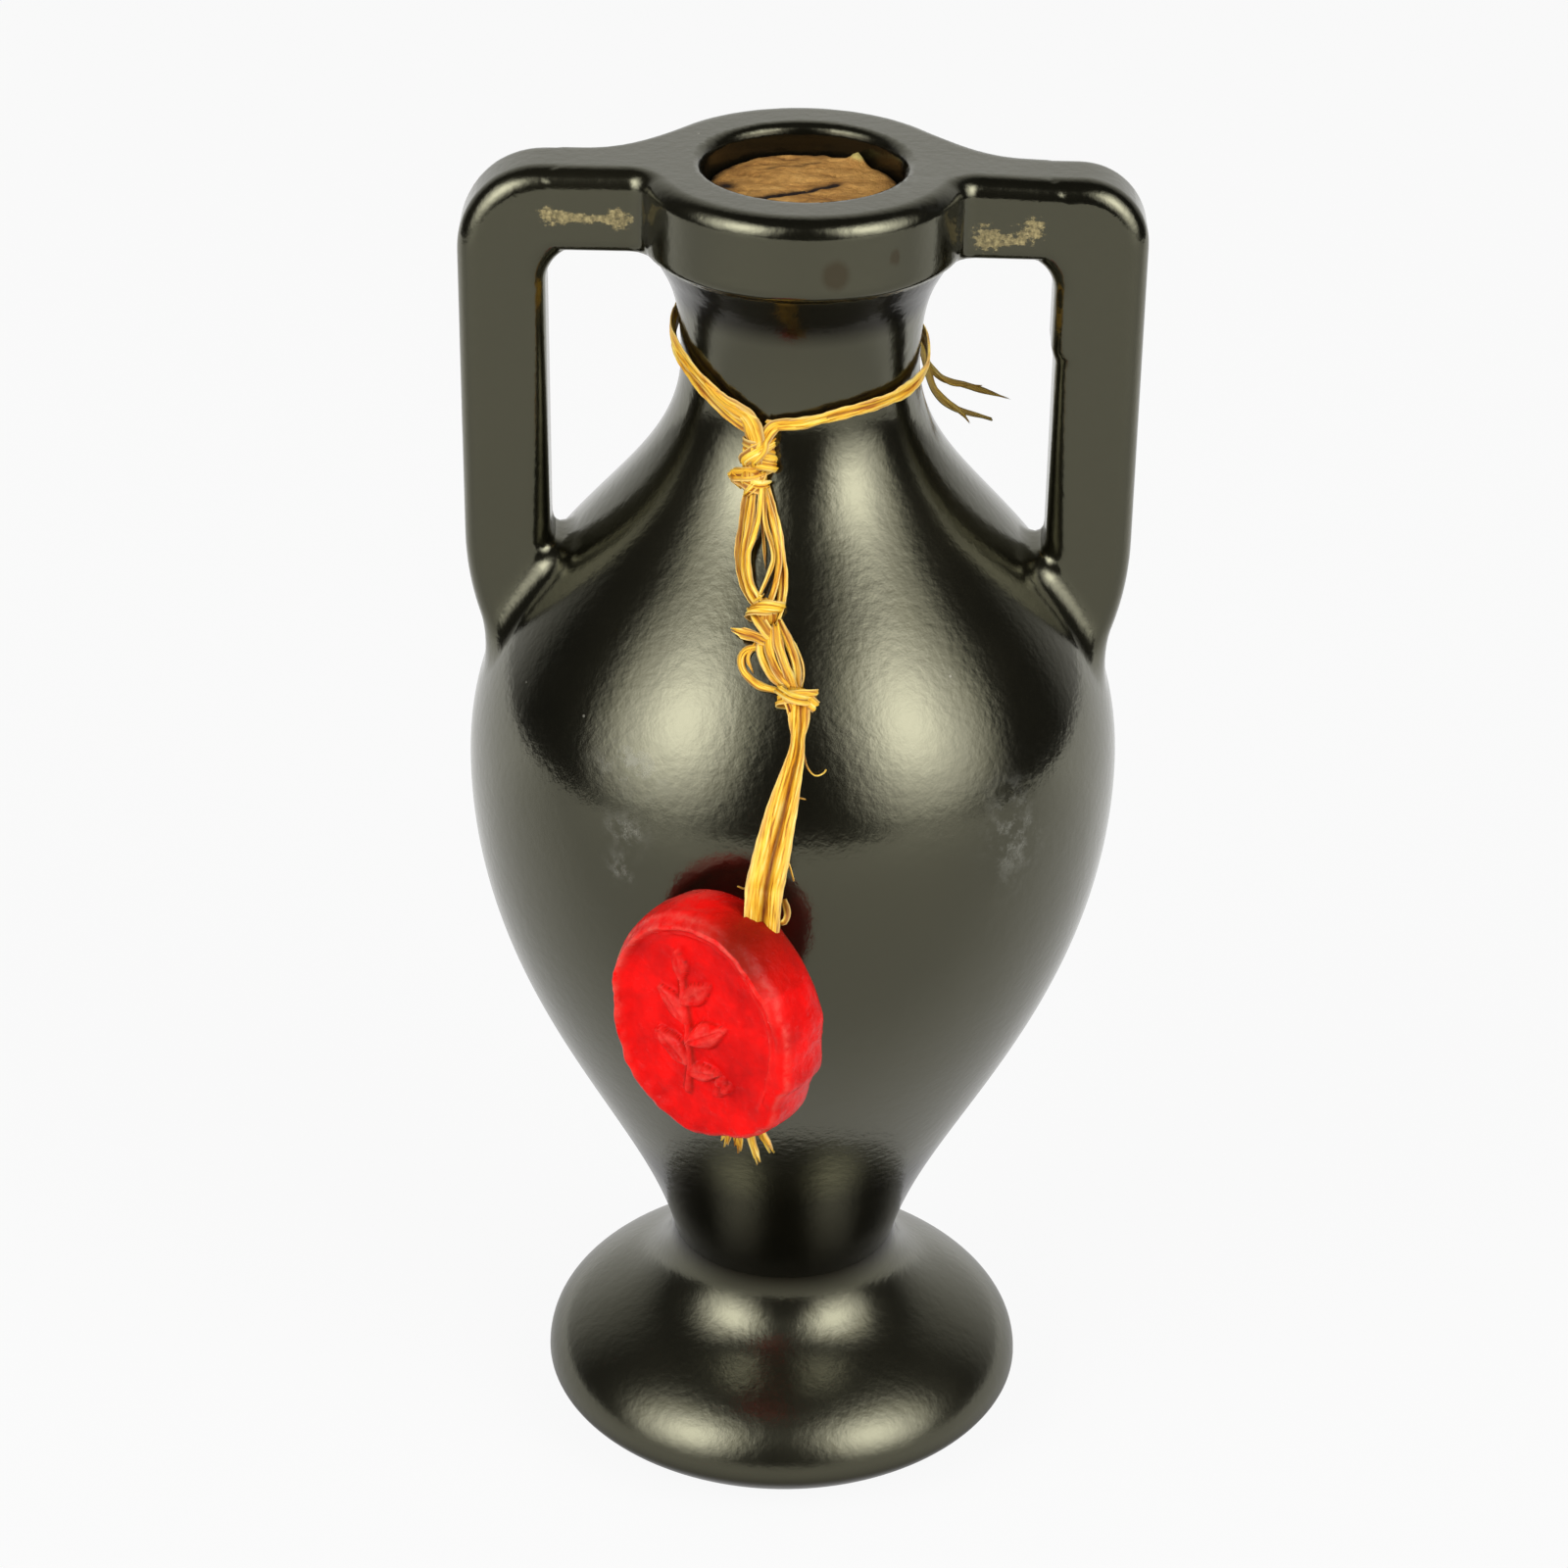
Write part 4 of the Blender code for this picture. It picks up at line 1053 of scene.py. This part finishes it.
def make_tie():
    """The loop round the neck, its loose tails behind and the knot in front."""
    route = loop_route(0.06, CIRCLE - 0.06)
    second = loop_route(math.radians(195), CIRCLE - 0.1, drop=1.45, lift=0.62)
    second[:, 2] += np.linspace(1.3, 0.35, len(second))
    loop = bundle("raffia_loop", [
        strip(route, 1.6, 11, fold=0.26, widths=(1.2, 1.3, 1.5, 1.6, 1.7, 1.6, 1.2)),
        strip(second, 1.5, 12, widths=(0.8, 1.5, 1.6, 1.5, 1.1)),
    ], "tie", "neck_loop")

    tail_long = bundle("raffia_tail_long", [
        strip([(9.9, 8.0, 118.2), (10.6, 7.9, 116.6), (11.7, 7.4, 113.4), (12.6, 6.8, 110.4),
               (14.3, 6.6, 108.6), (17.6, 6.6, 107.5)], 0.95, 21, up=(0.25, -0.95, 0.2), turn=(0.2, 1.3),
              ends=(0.9, 0.25), fray=0.9, dull=0.75),
        strip([(12.4, 6.9, 110.6), (13.6, 6.5, 109.4), (15.2, 6.4, 108.1), (15.9, 6.5, 107.2)], 0.5, 22,
              up=(0, -1, 0.2), ends=(0.7, 0.2), dull=0.6),
    ], "tie", "tail_long")
    tail_short = bundle("raffia_tail_short", [
        strip([(11.6, 7.5, 113.2), (13.2, 7.2, 111.3), (15.5, 7.1, 110.6), (19.2, 6.9, 109.5)], 0.6, 23,
              up=(0.1, -0.9, 0.4), ends=(0.8, 0.2), fray=0.8, dull=0.7),
        strip([(12.2, 7.3, 112.2), (14.2, 7.0, 110.7), (17.0, 7.2, 110.5)], 0.3, 24, up=(0, -1, 0.3),
              ends=(0.8, 0.3), cross=5, dull=0.4),
    ], "tie", "tail_short")

    # Knot: an upright barrel bound by two turns, and a folded lobe to the left below it.
    # Both ends of the loop run over the top into the barrel.
    barrel = Knot((-3.5, -12.35, 112.0), 0.35)
    near = barrel.near
    from_left = np.vstack((loop_route(CIRCLE - 0.5, CIRCLE - 0.12, steps=3),
                           near(-0.3, -1.35, 0.75), near(-0.1, -0.3, 1.2), near(0, 0.7, 1.05)))
    from_right = np.vstack((loop_route(0.12, 0.5, steps=3)[::-1],
                            near(0.5, -1.45, 0.7), near(0.6, -0.5, 1.25), near(-0.1, 0.5, 1.3)))
    knot = bundle("raffia_knot", [
        strip(from_left, 1.5, 39, widths=(1.3, 1.4, 1.7, 1.8, 1.4)),
        strip(from_right, 1.1, 40, fold=0.28, widths=(1.1, 1.1, 1.2, 1.2, 0.9)),
        barrel.lump((1.2, 0.85, 1.45), 31),
        barrel.binding(-0.15, (1.36, 0.98), -1.1, 1.9, 0.5, 1.55, 32, 0.24),
        strip([near(1.2, -1.3, 0.3), near(0.2, -0.5, 1.25), near(-1.1, 0.5, 0.95), near(-1.35, 1.2, -0.1)],
              1.25, 33),
        barrel.lump((1.25, 0.8, 1.0), 34, at=(-4.1, -13.0, 109.9)),
        strip([(-2.7, -12.9, 110.9), (-3.9, -13.5, 110.6), (-5.2, -12.9, 110.2), (-6.0, -12.2, 109.8),
               (-5.3, -12.6, 109.3)], 1.3, 35, turn=(0.1, -0.5)),
        strip([(-5.9, -12.2, 109.9), (-4.9, -13.3, 109.7), (-3.7, -14.0, 109.5), (-2.8, -13.6, 109.4)],
              1.25, 36, turn=(0.3, -0.2)),
        strip([(-2.9, -12.3, 111.4), (-3.3, -13.5, 110.3), (-4.2, -14.0, 109.3), (-4.6, -13.7, 108.7)],
              0.8, 37, fold=0.25),
    ], "tie", "neck_knot")
    return loop, route, [tail_long, tail_short, knot]


def make_pendant():
    """What hangs from the neck knot: the open eye, the wrap, the braid, the side loop and the low knot."""
    left = bundle("raffia_eye_left", [
        strip([(-4.4, -12.9, 109.1), (-4.8, -14.7, 106.2), (-5.1, -16.5, 103.8), (-4.8, -17.9, 102.2),
               (-4.1, -19.1, 100.9), (-3.2, -19.9, 100.2)], 1.05, 41, turn=(0.2, 0.5)),
        strip([(-3.9, -13.4, 109.3), (-4.2, -14.9, 107.0), (-4.6, -16.6, 104.5), (-4.6, -17.8, 102.8),
               (-3.9, -19.3, 101.2), (-2.9, -20.2, 100.3)], 0.8, 42, turn=(-0.3, 0.2)),
        strip([(-3.3, -13.7, 109.6), (-3.5, -15.3, 107.2), (-4.0, -16.5, 105.4), (-4.4, -17.3, 104.2),
               (-4.1, -18.8, 102.3), (-3.2, -19.9, 101.1)], 0.55, 43, turn=(0.4, -0.4)),
    ], "pendant", "strand_left")
    right = bundle("raffia_eye_right", [
        strip([(-3.0, -13.9, 109.2), (-2.9, -15.5, 106.9), (-2.3, -16.8, 105.2), (-2.1, -17.7, 104.0),
               (-2.6, -18.6, 102.7), (-3.2, -19.4, 101.5)], 0.45, 44, turn=(0.4, 0.9), cross=7),
        strip([(-2.9, -13.8, 108.9), (-2.0, -15.9, 106.0), (-1.6, -17.4, 103.9), (-1.8, -18.7, 102.3),
               (-2.2, -19.6, 101.1), (-2.6, -20.2, 100.4)], 0.7, 45, turn=(-0.3, -0.6)),
        strip([(-2.8, -13.4, 108.9), (-1.8, -15.7, 105.9), (-1.3, -17.4, 103.5), (-1.2, -18.9, 101.4),
               (-1.5, -20.2, 100.0), (-1.9, -20.9, 99.1)], 1.0, 46, turn=(-0.2, -0.5)),
        strip([(-3.3, -13.6, 108.2), (-3.2, -14.6, 106.8), (-3.0, -15.8, 105.1), (-2.8, -17.2, 103.3)],
              0.3, 47, cross=5, ends=(0.8, 0.2)),
    ], "pendant", "strand_right")

    middle = Knot((-2.65, -20.45, 100.1), -0.55)
    wrap = bundle("raffia_wrap", [
        middle.lump((1.0, 0.72, 1.3), 51),
        middle.binding(-0.35, (1.32, 0.95), 1.25, 1.35, 2.6, 1.35, 52, 0.25),
        strip([(-3.9, -20.3, 100.2), (-3.2, -21.4, 99.7), (-2.4, -22.1, 98.8), (-1.8, -22.0, 98.3)],
              1.1, 53),
    ], "pendant", "cross_wrap")
    stub = bundle("raffia_wrap_stub", [
        strip([(-2.6, -22.3, 98.1), (-3.6, -22.0, 98.4), (-4.5, -21.7, 98.5), (-5.3, -21.4, 98.6)],
              1.05, 54, ends=(0.8, 0.25), fray=0.6, fold=0.35),
    ], "pendant", "wrap_stub")
    braid_left = bundle("raffia_braid_left", [
        strip([(-2.6, -21.3, 98.6), (-3.0, -22.5, 97.3), (-2.3, -23.7, 95.9), (-1.1, -24.6, 94.9)],
              0.9, 55, turn=(0.3, 0.2)),
        strip([(-2.3, -21.8, 98.9), (-2.3, -22.9, 97.6), (-1.6, -24.1, 96.2), (-0.5, -25.0, 95.1)],
              0.9, 56, turn=(-0.3, 0.3)),
        strip([(-3.5, -21.8, 97.7), (-4.2, -22.7, 96.6), (-3.8, -23.4, 95.7)], 0.35, 57, cross=5,
              ends=(0.9, 0.2)),
    ], "pendant", "braid_left")
    braid_right = bundle("raffia_braid_right", [
        strip([(-1.7, -21.8, 99.2), (-1.4, -22.9, 97.8), (-0.7, -24.3, 96.3), (-0.0, -25.3, 95.0)],
              0.9, 58, turn=(0.2, -0.3)),
        strip([(-1.4, -21.2, 99.4), (-0.5, -22.4, 97.9), (0.1, -23.6, 96.6), (0.3, -24.9, 94.9)],
              0.9, 59, turn=(-0.2, -0.4)),
        strip([(-1.2, -21.3, 98.7), (0.0, -22.2, 97.5), (0.6, -23.2, 96.4), (0.7, -23.9, 95.5),
               (0.5, -24.7, 94.5)], 0.7, 60, turn=(-0.6, -0.9)),
    ], "pendant", "braid_right")
    side_loop = bundle("raffia_side_loop", [
        strip([(-3.0, -22.1, 97.4), (-4.3, -22.2, 97.1), (-4.8, -22.6, 96.4), (-4.5, -23.4, 95.5),
               (-3.2, -24.3, 94.7), (-1.4, -24.8, 94.4)], 0.75, 61, turn=(0.5, -0.3)),
    ], "pendant", "side_loop")

    low = Knot((0.25, -25.75, 94.2), -0.25)
    near = low.near
    knot = bundle("raffia_low_knot", [
        low.lump((1.35, 0.85, 1.0), 62),
        low.binding(0, (1.62, 1.08), 0.9, 1.6, 2.9, 1.2, 63, 0.3),
        strip([near(-1.6, -0.7, 0.2), near(-0.6, 0.1, 1.3), near(0.6, 0.35, 1.25), near(1.3, 0.2, 0.4)],
              1.0, 64),
        strip([near(-0.9, 0.3, 0.9), near(-0.6, 1.0, 0.95), near(-0.4, 1.7, 0.6)], 0.8, 65, fold=0.25),
    ], "pendant", "lower_knot")
    knot_stub = bundle("raffia_knot_stub", [
        strip([(1.1, -26.2, 94.4), (1.5, -26.5, 94.2), (1.95, -26.7, 93.9)], 1.3, 66, ends=(0.9, 0.95),
              fray=0.25, fold=0.35, spacing=0.12),
    ], "pendant", "knot_stub")
    return [left, right, wrap, stub, braid_left, braid_right, side_loop, knot, knot_stub]


# Wax seal

SEAL_RIGHT = np.array((math.cos(SEAL_YAW), -math.sin(SEAL_YAW), 0))
SEAL_FACE = np.array((-math.sin(SEAL_YAW), -math.cos(SEAL_YAW), 0))


def seal_point(u, v, out=0.0):
    return SEAL_AT + u * SEAL_RIGHT + np.array((0, 0, v)) + out * SEAL_FACE


# The band from knot to wax: place to the right, share of the fall, and width
FAN = ((0.5, 0.0, 2.5), (0.5, 0.085, 2.4), (0.45, 0.17, 1.3), (0.3, 0.26, 1.7), (-0.5, 0.45, 2.5),
       (-1.4, 0.68, 3.2), (-2.1, 0.88, 3.5))
FAN_IN_WAX, FAN_IN_WAX_W = (0.0, 0.3, 0.6, 0.92), 3.3

# Frayed ends below the wax: place along it, shift and fall, and the fibres of each as spread and width
FRINGE = ((1.1, -0.7, 2.2), (2.1, -0.2, 2.4), (3.2, 0.7, 3.2), (4.2, 1.1, 2.0))
FRINGE_FIBRES = ((-0.3, 0.8), (0.3, 0.55), (0.0, 0.3))


def fan_route():
    top = on_front(*LOW_KNOT, 1.7)
    reach = SEAL_H / 2 + 0.9
    end = seal_point(BAND_IN, reach, -BAND_BACK)
    route = []
    for x, share, _ in FAN:
        spot = top + (end - top) * share
        route.append((x, *spot[1:]))
    for share in FAN_IN_WAX:
        route.append(seal_point(BAND_IN + (BAND_OUT - BAND_IN) * share, reach - 2 * reach * share,
                                -BAND_BACK))
    return np.array(route), [width for _, _, width in FAN] + [FAN_IN_WAX_W] * len(FAN_IN_WAX)


def fan_facing(points):
    """The way the fan's face looks: off the body at the knot, turning towards the seal's face."""
    lean = slide(points[:, 2], 93, 77)[:, None]
    return unit((1 - lean) * outward(points) + lean * (0.7 * np.array((0.1, -1, 0.25)) + 0.3 * SEAL_FACE))


def make_seal():
    """The pleated band, its stray fibres, the wax pressed round it and the fringe below."""
    route, widths = fan_route()
    line = spline(route, 0.35)
    run = run_along(route)
    even = np.interp(np.linspace(0, 1, 60), run / run[-1], widths)
    fan = bundle("raffia_fan", [
        strip(route, 3.0, 71, up=fan_facing, fold=0.85, widths=even, cross=21, fray=0.2, spacing=0.35,
              uneven=0.2),
    ], "hanging_seal", "fan_band")
    thin = {"cross": 4, "fray": 0.1, "thick": 0.12, "fold": 0.02}
    wisps = bundle("raffia_wisps", [
        strip([(0.9, -28.6, 90.6), (1.3, -29.3, 89.2), (2.0, -29.7, 88.5), (2.7, -29.6, 88.6),
               (3.0, -29.4, 88.9)], 0.16, 72, **thin),
        strip([(0.2, -31.4, 87.3), (0.8, -31.6, 87.2), (1.2, -31.6, 87.1)], 0.16, 73, **thin),
        strip([(-0.9, -33.4, 84.0), (-0.4, -34.1, 82.6), (0.0, -34.4, 81.5), (0.3, -34.6, 80.4)],
              0.2, 74, **thin),
        strip([(-3.6, -35.4, 80.8), (-4.0, -35.8, 80.2), (-4.6, -36.0, 80.5)], 0.16, 75, **thin),
        strip([(-0.5, -36.6, 79.6), (-0.2, -37.4, 78.6), (-0.5, -37.9, 78.0), (-0.9, -37.6, 77.8)],
              0.6, 76, cross=5, fray=0.2, fold=0.1),
    ], "hanging_seal")

    fringe = []
    for k, (u, shift, fall) in enumerate(FRINGE):
        top = -SEAL_H / 2 * math.sqrt(1 - (2 * u / SEAL_W) ** 2) + 1.0
        parts = []
        for j, (apart, width) in enumerate(FRINGE_FIBRES):
            hang = [seal_point(u, top, -BAND_BACK),
                    seal_point(u + 0.3 * shift + 0.5 * apart, top - 1.0 - 0.4 * fall, -BAND_BACK + 0.2),
                    seal_point(u + shift + apart, top - 1.0 - fall - 0.3 * j, -BAND_BACK)]
            parts.append(strip(hang, width, 80 + 4 * k + j, up=SEAL_FACE, ends=(0.8, 0.25), cross=6,
                               spacing=0.25))
        fringe.append(bundle(f"raffia_fringe_{k + 1}", parts, "hanging_seal", f"fringe_{k + 1}"))

    wax = make_wax()
    return fan, line, [wisps, wax] + fringe


# Outline of the wax: how many waves round it, their size and phase, and single bulges and dents,
# by place round it in degrees, spread and size
SEAL_WAVES = ((2, 0.012, 2.2), (3, 0.008, 0.6), (5, 0.006, 1.0), (7, 0.005, 0.0))
SEAL_BULGES = ((-40, 18, 0.06), (-72, 18, -0.03), (180, 28, -0.035))
SEAL_COLUMNS = 200

# The sprig on its face: points of the stem, leaves as root, turn, length and width, and berries
STEM = np.array([(-0.8, -6.6), (-0.5, -3.6), (-0.9, -0.6), (-1.6, 2.4), (-1.9, 5.0)])
LEAVES = (((-0.6, -3.8), 2.55, 4.6, 1.25), ((-0.7, -1.4), 0.55, 4.8, 1.3), ((-1.0, 0.4), 2.45, 4.4, 1.2),
          ((-1.5, 2.2), 0.75, 4.0, 1.1), ((-1.8, 4.4), 1.75, 3.2, 0.9), ((-0.7, -4.6), 0.25, 3.6, 0.95))
BERRIES = ((2.7, -5.6), (3.6, -4.9), (2.9, -4.4))
STAMP_H, STAMP_EDGE = 0.95, (0.78, 0.70)

# Across the face, as shares of the oval: raised borders as place, width and height, and the dished face
BORDER, INNER_BORDER, BRIM = (0.905, 0.035, 0.7), (0.82, 0.018, 0.32), (0.97, 0.016, 0.7)
DISH_H, DISH_EDGE = 0.6, (0.87, 0.77)
FACE_END = 0.92


def leaf(u, v, at, turn, length, width):
    """Height of one pressed leaf with a raised vein, 0 outside it."""
    a = (u - at[0]) * math.cos(turn) + (v - at[1]) * math.sin(turn)
    b = (v - at[1]) * math.cos(turn) - (u - at[0]) * math.sin(turn)
    t = np.clip(a / length, 0, 1)
    half = width * np.sin(math.pi * t**0.8) + 1e-6
    body = np.clip(1 - (b / half) ** 2, 0, 1) * ((a > 0) & (a < length))
    vein = bell(b, 0.16) * ((a > 0.1 * length) & (a < 0.9 * length))
    return np.sqrt(body) - 0.35 * vein * body


def stamp_height(u, v):
    """A generic worn sprig: a bent stem with six leaves and a few berries."""
    gap = line_gap(np.column_stack((u.ravel(), v.ravel())), STEM).reshape(u.shape)
    total = 0.7 * bell(gap, 0.36)
    for place in LEAVES:
        total = np.maximum(total, leaf(u, v, *place))
    for at in BERRIES:
        total = np.maximum(total, np.sqrt(np.clip(1 - ((u - at[0])**2 + (v - at[1])**2) / 0.3, 0, 1)))
    return total


def make_wax():
    """The wax: a thick uneven oval with a raised border, a worn pressed face and lumps at its edge."""
    a = CIRCLE * np.arange(SEAL_COLUMNS) / SEAL_COLUMNS
    wave = 1 + sum(size * np.sin(k * a + phase) for k, size, phase in SEAL_WAVES)
    for place, reach, size in SEAL_BULGES:
        wave += size * bell((np.degrees(a) - place + 180) % 360 - 180, reach)
    half_t = SEAL_T / 2

    # Rows from the face's middle out over the border, round the edge and to the back's middle:
    # share of the oval, height over the face, and zone (0 face, 1 rounding, 2 edge, 3 back)
    rows = [(t, 0.0, 0) for t in np.linspace(0.015, FACE_END, 66)]
    rows += [(FACE_END + (1 - FACE_END) * math.sin(b), half_t * (math.cos(b) - 1) * 0.5, 1)
             for b in np.linspace(0.1, math.pi / 2, 12)]
    rows += [(1.0 + 0.012 * math.sin(math.pi * t), -half_t * 0.5 - half_t * 0.95 * t, 2)
             for t in np.linspace(0, 1, 12)[1:]]
    rows += [(1 - 0.16 * (1 - math.cos(b)), -half_t * 1.45 - half_t * 0.55 * math.sin(b), 3)
             for b in np.linspace(0.2, math.pi / 2, 7)]
    rows += [(t, -2 * half_t, 3) for t in np.linspace(0.8, 0.05, 10)]
    share, out, zone = (column[:, None] for column in np.array(rows).T)

    u = share * (SEAL_W / 2 * wave * np.cos(a))[None, :]
    v = share * (SEAL_H / 2 * wave * np.sin(a))[None, :]
    out = np.repeat(out + half_t, SEAL_COLUMNS, 1)
    flat = np.column_stack((u.ravel(), v.ravel(), out.ravel()))

    def uneven(seed, scale):
        return waves(flat, seed, scale).reshape(u.shape)

    def toward(degrees, sharp=1):
        """1 at this place round the oval, falling to 0 a quarter turn away."""
        return np.clip(np.cos(a - math.radians(degrees)), 0, 1)[None, :] ** sharp

    def ridge(place, width, height):
        return height * bell(share - place, width)

    # Border: high on the left and top, fading to nothing at the lower right
    fade = np.clip(0.55 + 0.75 * np.cos(a - math.radians(120)), 0.0, 1.0)[None, :]
    border = ridge(*BORDER) * fade + ridge(*INNER_BORDER) * toward(45)
    face = (zone == 0).astype(float)
    dish = -DISH_H * slide(share, *DISH_EDGE) * (0.35 + 0.65 * fade)
    relief = STAMP_H * stamp_height(u, v) * slide(share, *STAMP_EDGE)
    worn_off = np.clip(0.85 + 0.5 * uneven(8, 0.55), 0.25, 1.1)
    out = out + border * (1 + 0.35 * uneven(5, 1.4)) + (dish + relief * worn_off) * face
    out = out + 0.10 * uneven(12, 1.5) * (zone < 3) + 0.07 * uneven(13, 3.6) * (zone < 2)

    # Lumps pressed out along the lower right edge
    side_lumps = 0.4 * waves(np.column_stack((a * 9, a * 0)), 15, 1.0)[None, :] * toward(-28, 3)
    grow = 1 + (side_lumps + 0.10 * uneven(18, 1.1)) / 11 * (share > 0.85)
    u, v = u * grow, v * grow

    points = (SEAL_AT + u[..., None] * SEAL_RIGHT + v[..., None] * np.array((0, 0, 1.0))
              + out[..., None] * SEAL_FACE).reshape(-1, 3)
    points = np.vstack((points, points[:SEAL_COLUMNS].mean(0), points[-SEAL_COLUMNS:].mean(0)))

    # Rubbed ridges, painted shade round the sprig and on the top wall where the band goes in, crumbs on the
    # left rim
    brim = ridge(*BRIM) * (zone < 2)
    stamped = relief / STAMP_H
    painted_crease_shade = bell(stamped - 0.22, 0.16) * (stamped > 0.02)
    painted_top_wall_shade = bell(u - BAND_IN, 3.5) * (v > 6) * (zone >= 1)
    marks = {"rubbed": np.clip(border * 1.2 + brim + 0.55 * relief * face, 0, 1),
             "crumb": toward(172, 6) * bell(share - 0.965, 0.022),
             "painted_wax_shade": np.maximum(0.85 * painted_top_wall_shade, 0.55 * painted_crease_shade * face)}
    marks = {name: np.append(values.ravel(), (0, 0)) for name, values in marks.items()}
    piece = mesh_piece("wax_oval", points, closed_rings(len(rows), SEAL_COLUMNS), WAX, marks=marks)
    return stands_for(piece, "hanging_seal", "wax", "wax_seal")


# Stage, light and camera, in metres

FLOOR_HALF = (0.6, 0.8)
FLOOR_SEEN, FLOOR_THROUGH = 0.92, 0.8    # how white the floor is to the eye and through a surface
ROOM_FILL = 0.22                         # level of the light from all round
# What reflections show of floor and room: from and to along Y, and the levels there
FLOOR_MIRRORED, ROOM_MIRRORED = (-0.06, 0.1, 0.05, 1.0), (0.35, 0.95, 0.03, 0.9)

# Lamps: turn from the front, positive to the right, height angle, distance, size and power
LAMPS = {
    "box_left": (-48, 26, 0.95, (1.3, 1.48), 24.2),
    "box_right": (51, 26, 0.95, (1.3, 1.48), 24.2),
    "core_left": (-43, 32, 0.95, (0.65, 0.8), 4.25),
    "core_right": (46, 32, 0.95, (0.65, 0.8), 4.25),
}
LAMP_TARGET = Vector((0, 0, 0.08))

CAMERA_AT = (0, -0.39897, 0.29048)
CAMERA_PITCH, CAMERA_HEADING, CAMERA_ROLL = (math.radians(a) for a in (28.789, -0.1124, -1.0532))
CAMERA_LENS, CAMERA_SENSOR = 107.93, 36


def make_floor():
    """A pale floor, white to the eye. In reflections it is whitest behind the vase."""
    x, y = FLOOR_HALF
    mesh = bpy.data.meshes.new("floor")
    mesh.from_pydata([(-x, -y, 0), (x, -y, 0), (x, y, 0), (-x, y, 0)], [], [(0, 1, 2, 3)])
    floor = put("floor", mesh)
    m = Finish("pale_floor")
    m.set({"Base Color": (0.58, 0.58, 0.575), "Roughness": 0.9, "Specular IOR Level": 0.1})
    glow = m.add("ShaderNodeEmission", Strength=1.0)
    rays = m.add("ShaderNodeLightPath").outputs
    seen = m.plus(m.times(rays["Is Camera Ray"], FLOOR_SEEN),
                  m.times(rays["Is Transmission Ray"], FLOOR_THROUGH))
    place = m.axes_of(m.add("ShaderNodeNewGeometry").outputs["Position"])
    behind = m.fit(place["Y"], *FLOOR_MIRRORED)
    seen = m.plus(seen, m.times(rays["Is Glossy Ray"], behind))
    blend = m.add("ShaderNodeMixShader")
    for socket, value in zip(blend.inputs, (seen, m.shader.outputs["BSDF"], glow.outputs["Emission"])):
        m.feed(socket, value)
    m.feed(m.tree.nodes["Material Output"].inputs["Surface"], blend.outputs["Shader"])
    mesh.materials.append(m.made)


def make_world():
    """White to the eye, a dim grey room in reflections in front, bright behind."""
    world = bpy.data.worlds.new("studio")
    bpy.context.scene.world = world
    world.use_nodes = True
    m = Nodes(world.node_tree)
    back = m.tree.nodes["Background"].inputs
    m.feed(back["Color"], (1, 1, 1))
    rays = m.add("ShaderNodeLightPath").outputs
    way = m.axes_of(m.add("ShaderNodeTexCoord").outputs["Generated"])
    level = m.times(m.fit(way["Y"], *ROOM_MIRRORED), rays["Is Glossy Ray"])
    level = m.plus(level, m.times(rays["Is Diffuse Ray"], ROOM_FILL))
    level = m.plus(m.plus(level, rays["Is Camera Ray"]), rays["Is Transmission Ray"])
    m.feed(back["Strength"], level)


def softbox(name, azimuth, elevation, distance, size, power):
    """A rectangle of light turned to the vase, brightest in the middle, like a cloth-fronted lamp."""
    az, el = math.radians(azimuth), math.radians(elevation)
    way = Vector((math.sin(az) * math.cos(el), -math.cos(az) * math.cos(el), math.sin(el)))
    lamp = bpy.data.lights.new(name, "AREA")
    lamp.shape = "RECTANGLE"
    lamp.size, lamp.size_y = size
    lamp.energy = power
    lamp.use_nodes = True
    m = Nodes(lamp.node_tree)
    place = m.axes_of(m.add("ShaderNodeNewGeometry").outputs["Parametric"])
    fades = []
    for across in (place["X"], place["Y"]):
        bulge = m.times(across, m.calc("SUBTRACT", 4.0, m.times(across, 4.0)))
        fades.append(m.calc("POWER", bulge, 2.0))
    m.feed(m.tree.nodes["Emission"].inputs["Strength"], m.times(*fades))
    holder = put(name, lamp)
    holder.location = LAMP_TARGET + way * distance
    holder.rotation_euler = way.to_track_quat("Z", "Y").to_euler()
    holder.visible_camera = False


def make_camera():
    """The photograph's own view, worked out from the rim, belly and foot ellipses."""
    level = math.cos(CAMERA_PITCH)
    ahead = Vector((math.sin(CAMERA_HEADING) * level, math.cos(CAMERA_HEADING) * level,
                    -math.sin(CAMERA_PITCH)))
    right = Vector((math.cos(CAMERA_HEADING), -math.sin(CAMERA_HEADING), 0))
    down = ahead.cross(right)
    across = math.cos(CAMERA_ROLL) * right + math.sin(CAMERA_ROLL) * down
    below = math.cos(CAMERA_ROLL) * down - math.sin(CAMERA_ROLL) * right
    lens = bpy.data.cameras.new("camera")
    lens.sensor_width = CAMERA_SENSOR
    lens.lens = CAMERA_LENS
    lens.clip_start = 0.02
    camera = put("camera", lens)
    turn = Matrix((across, -below, -ahead)).transposed().to_4x4()
    camera.matrix_world = Matrix.Translation(CAMERA_AT) @ turn
    bpy.context.scene.camera = camera


make_camera()
make_floor()
make_world()
for lamp_name, lamp_setting in LAMPS.items():
    softbox(lamp_name, *lamp_setting)
bpy.context.scene.view_settings.view_transform = "Standard"

make_pot()
make_foot()
make_cork()
loop, loop_line, tie_pieces = make_tie()
pendant_pieces = make_pendant()
fan, fan_line, seal_pieces = make_seal()

line_length(loop_line) * MM
line_length(fan_line) * MM
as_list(seal_pieces)
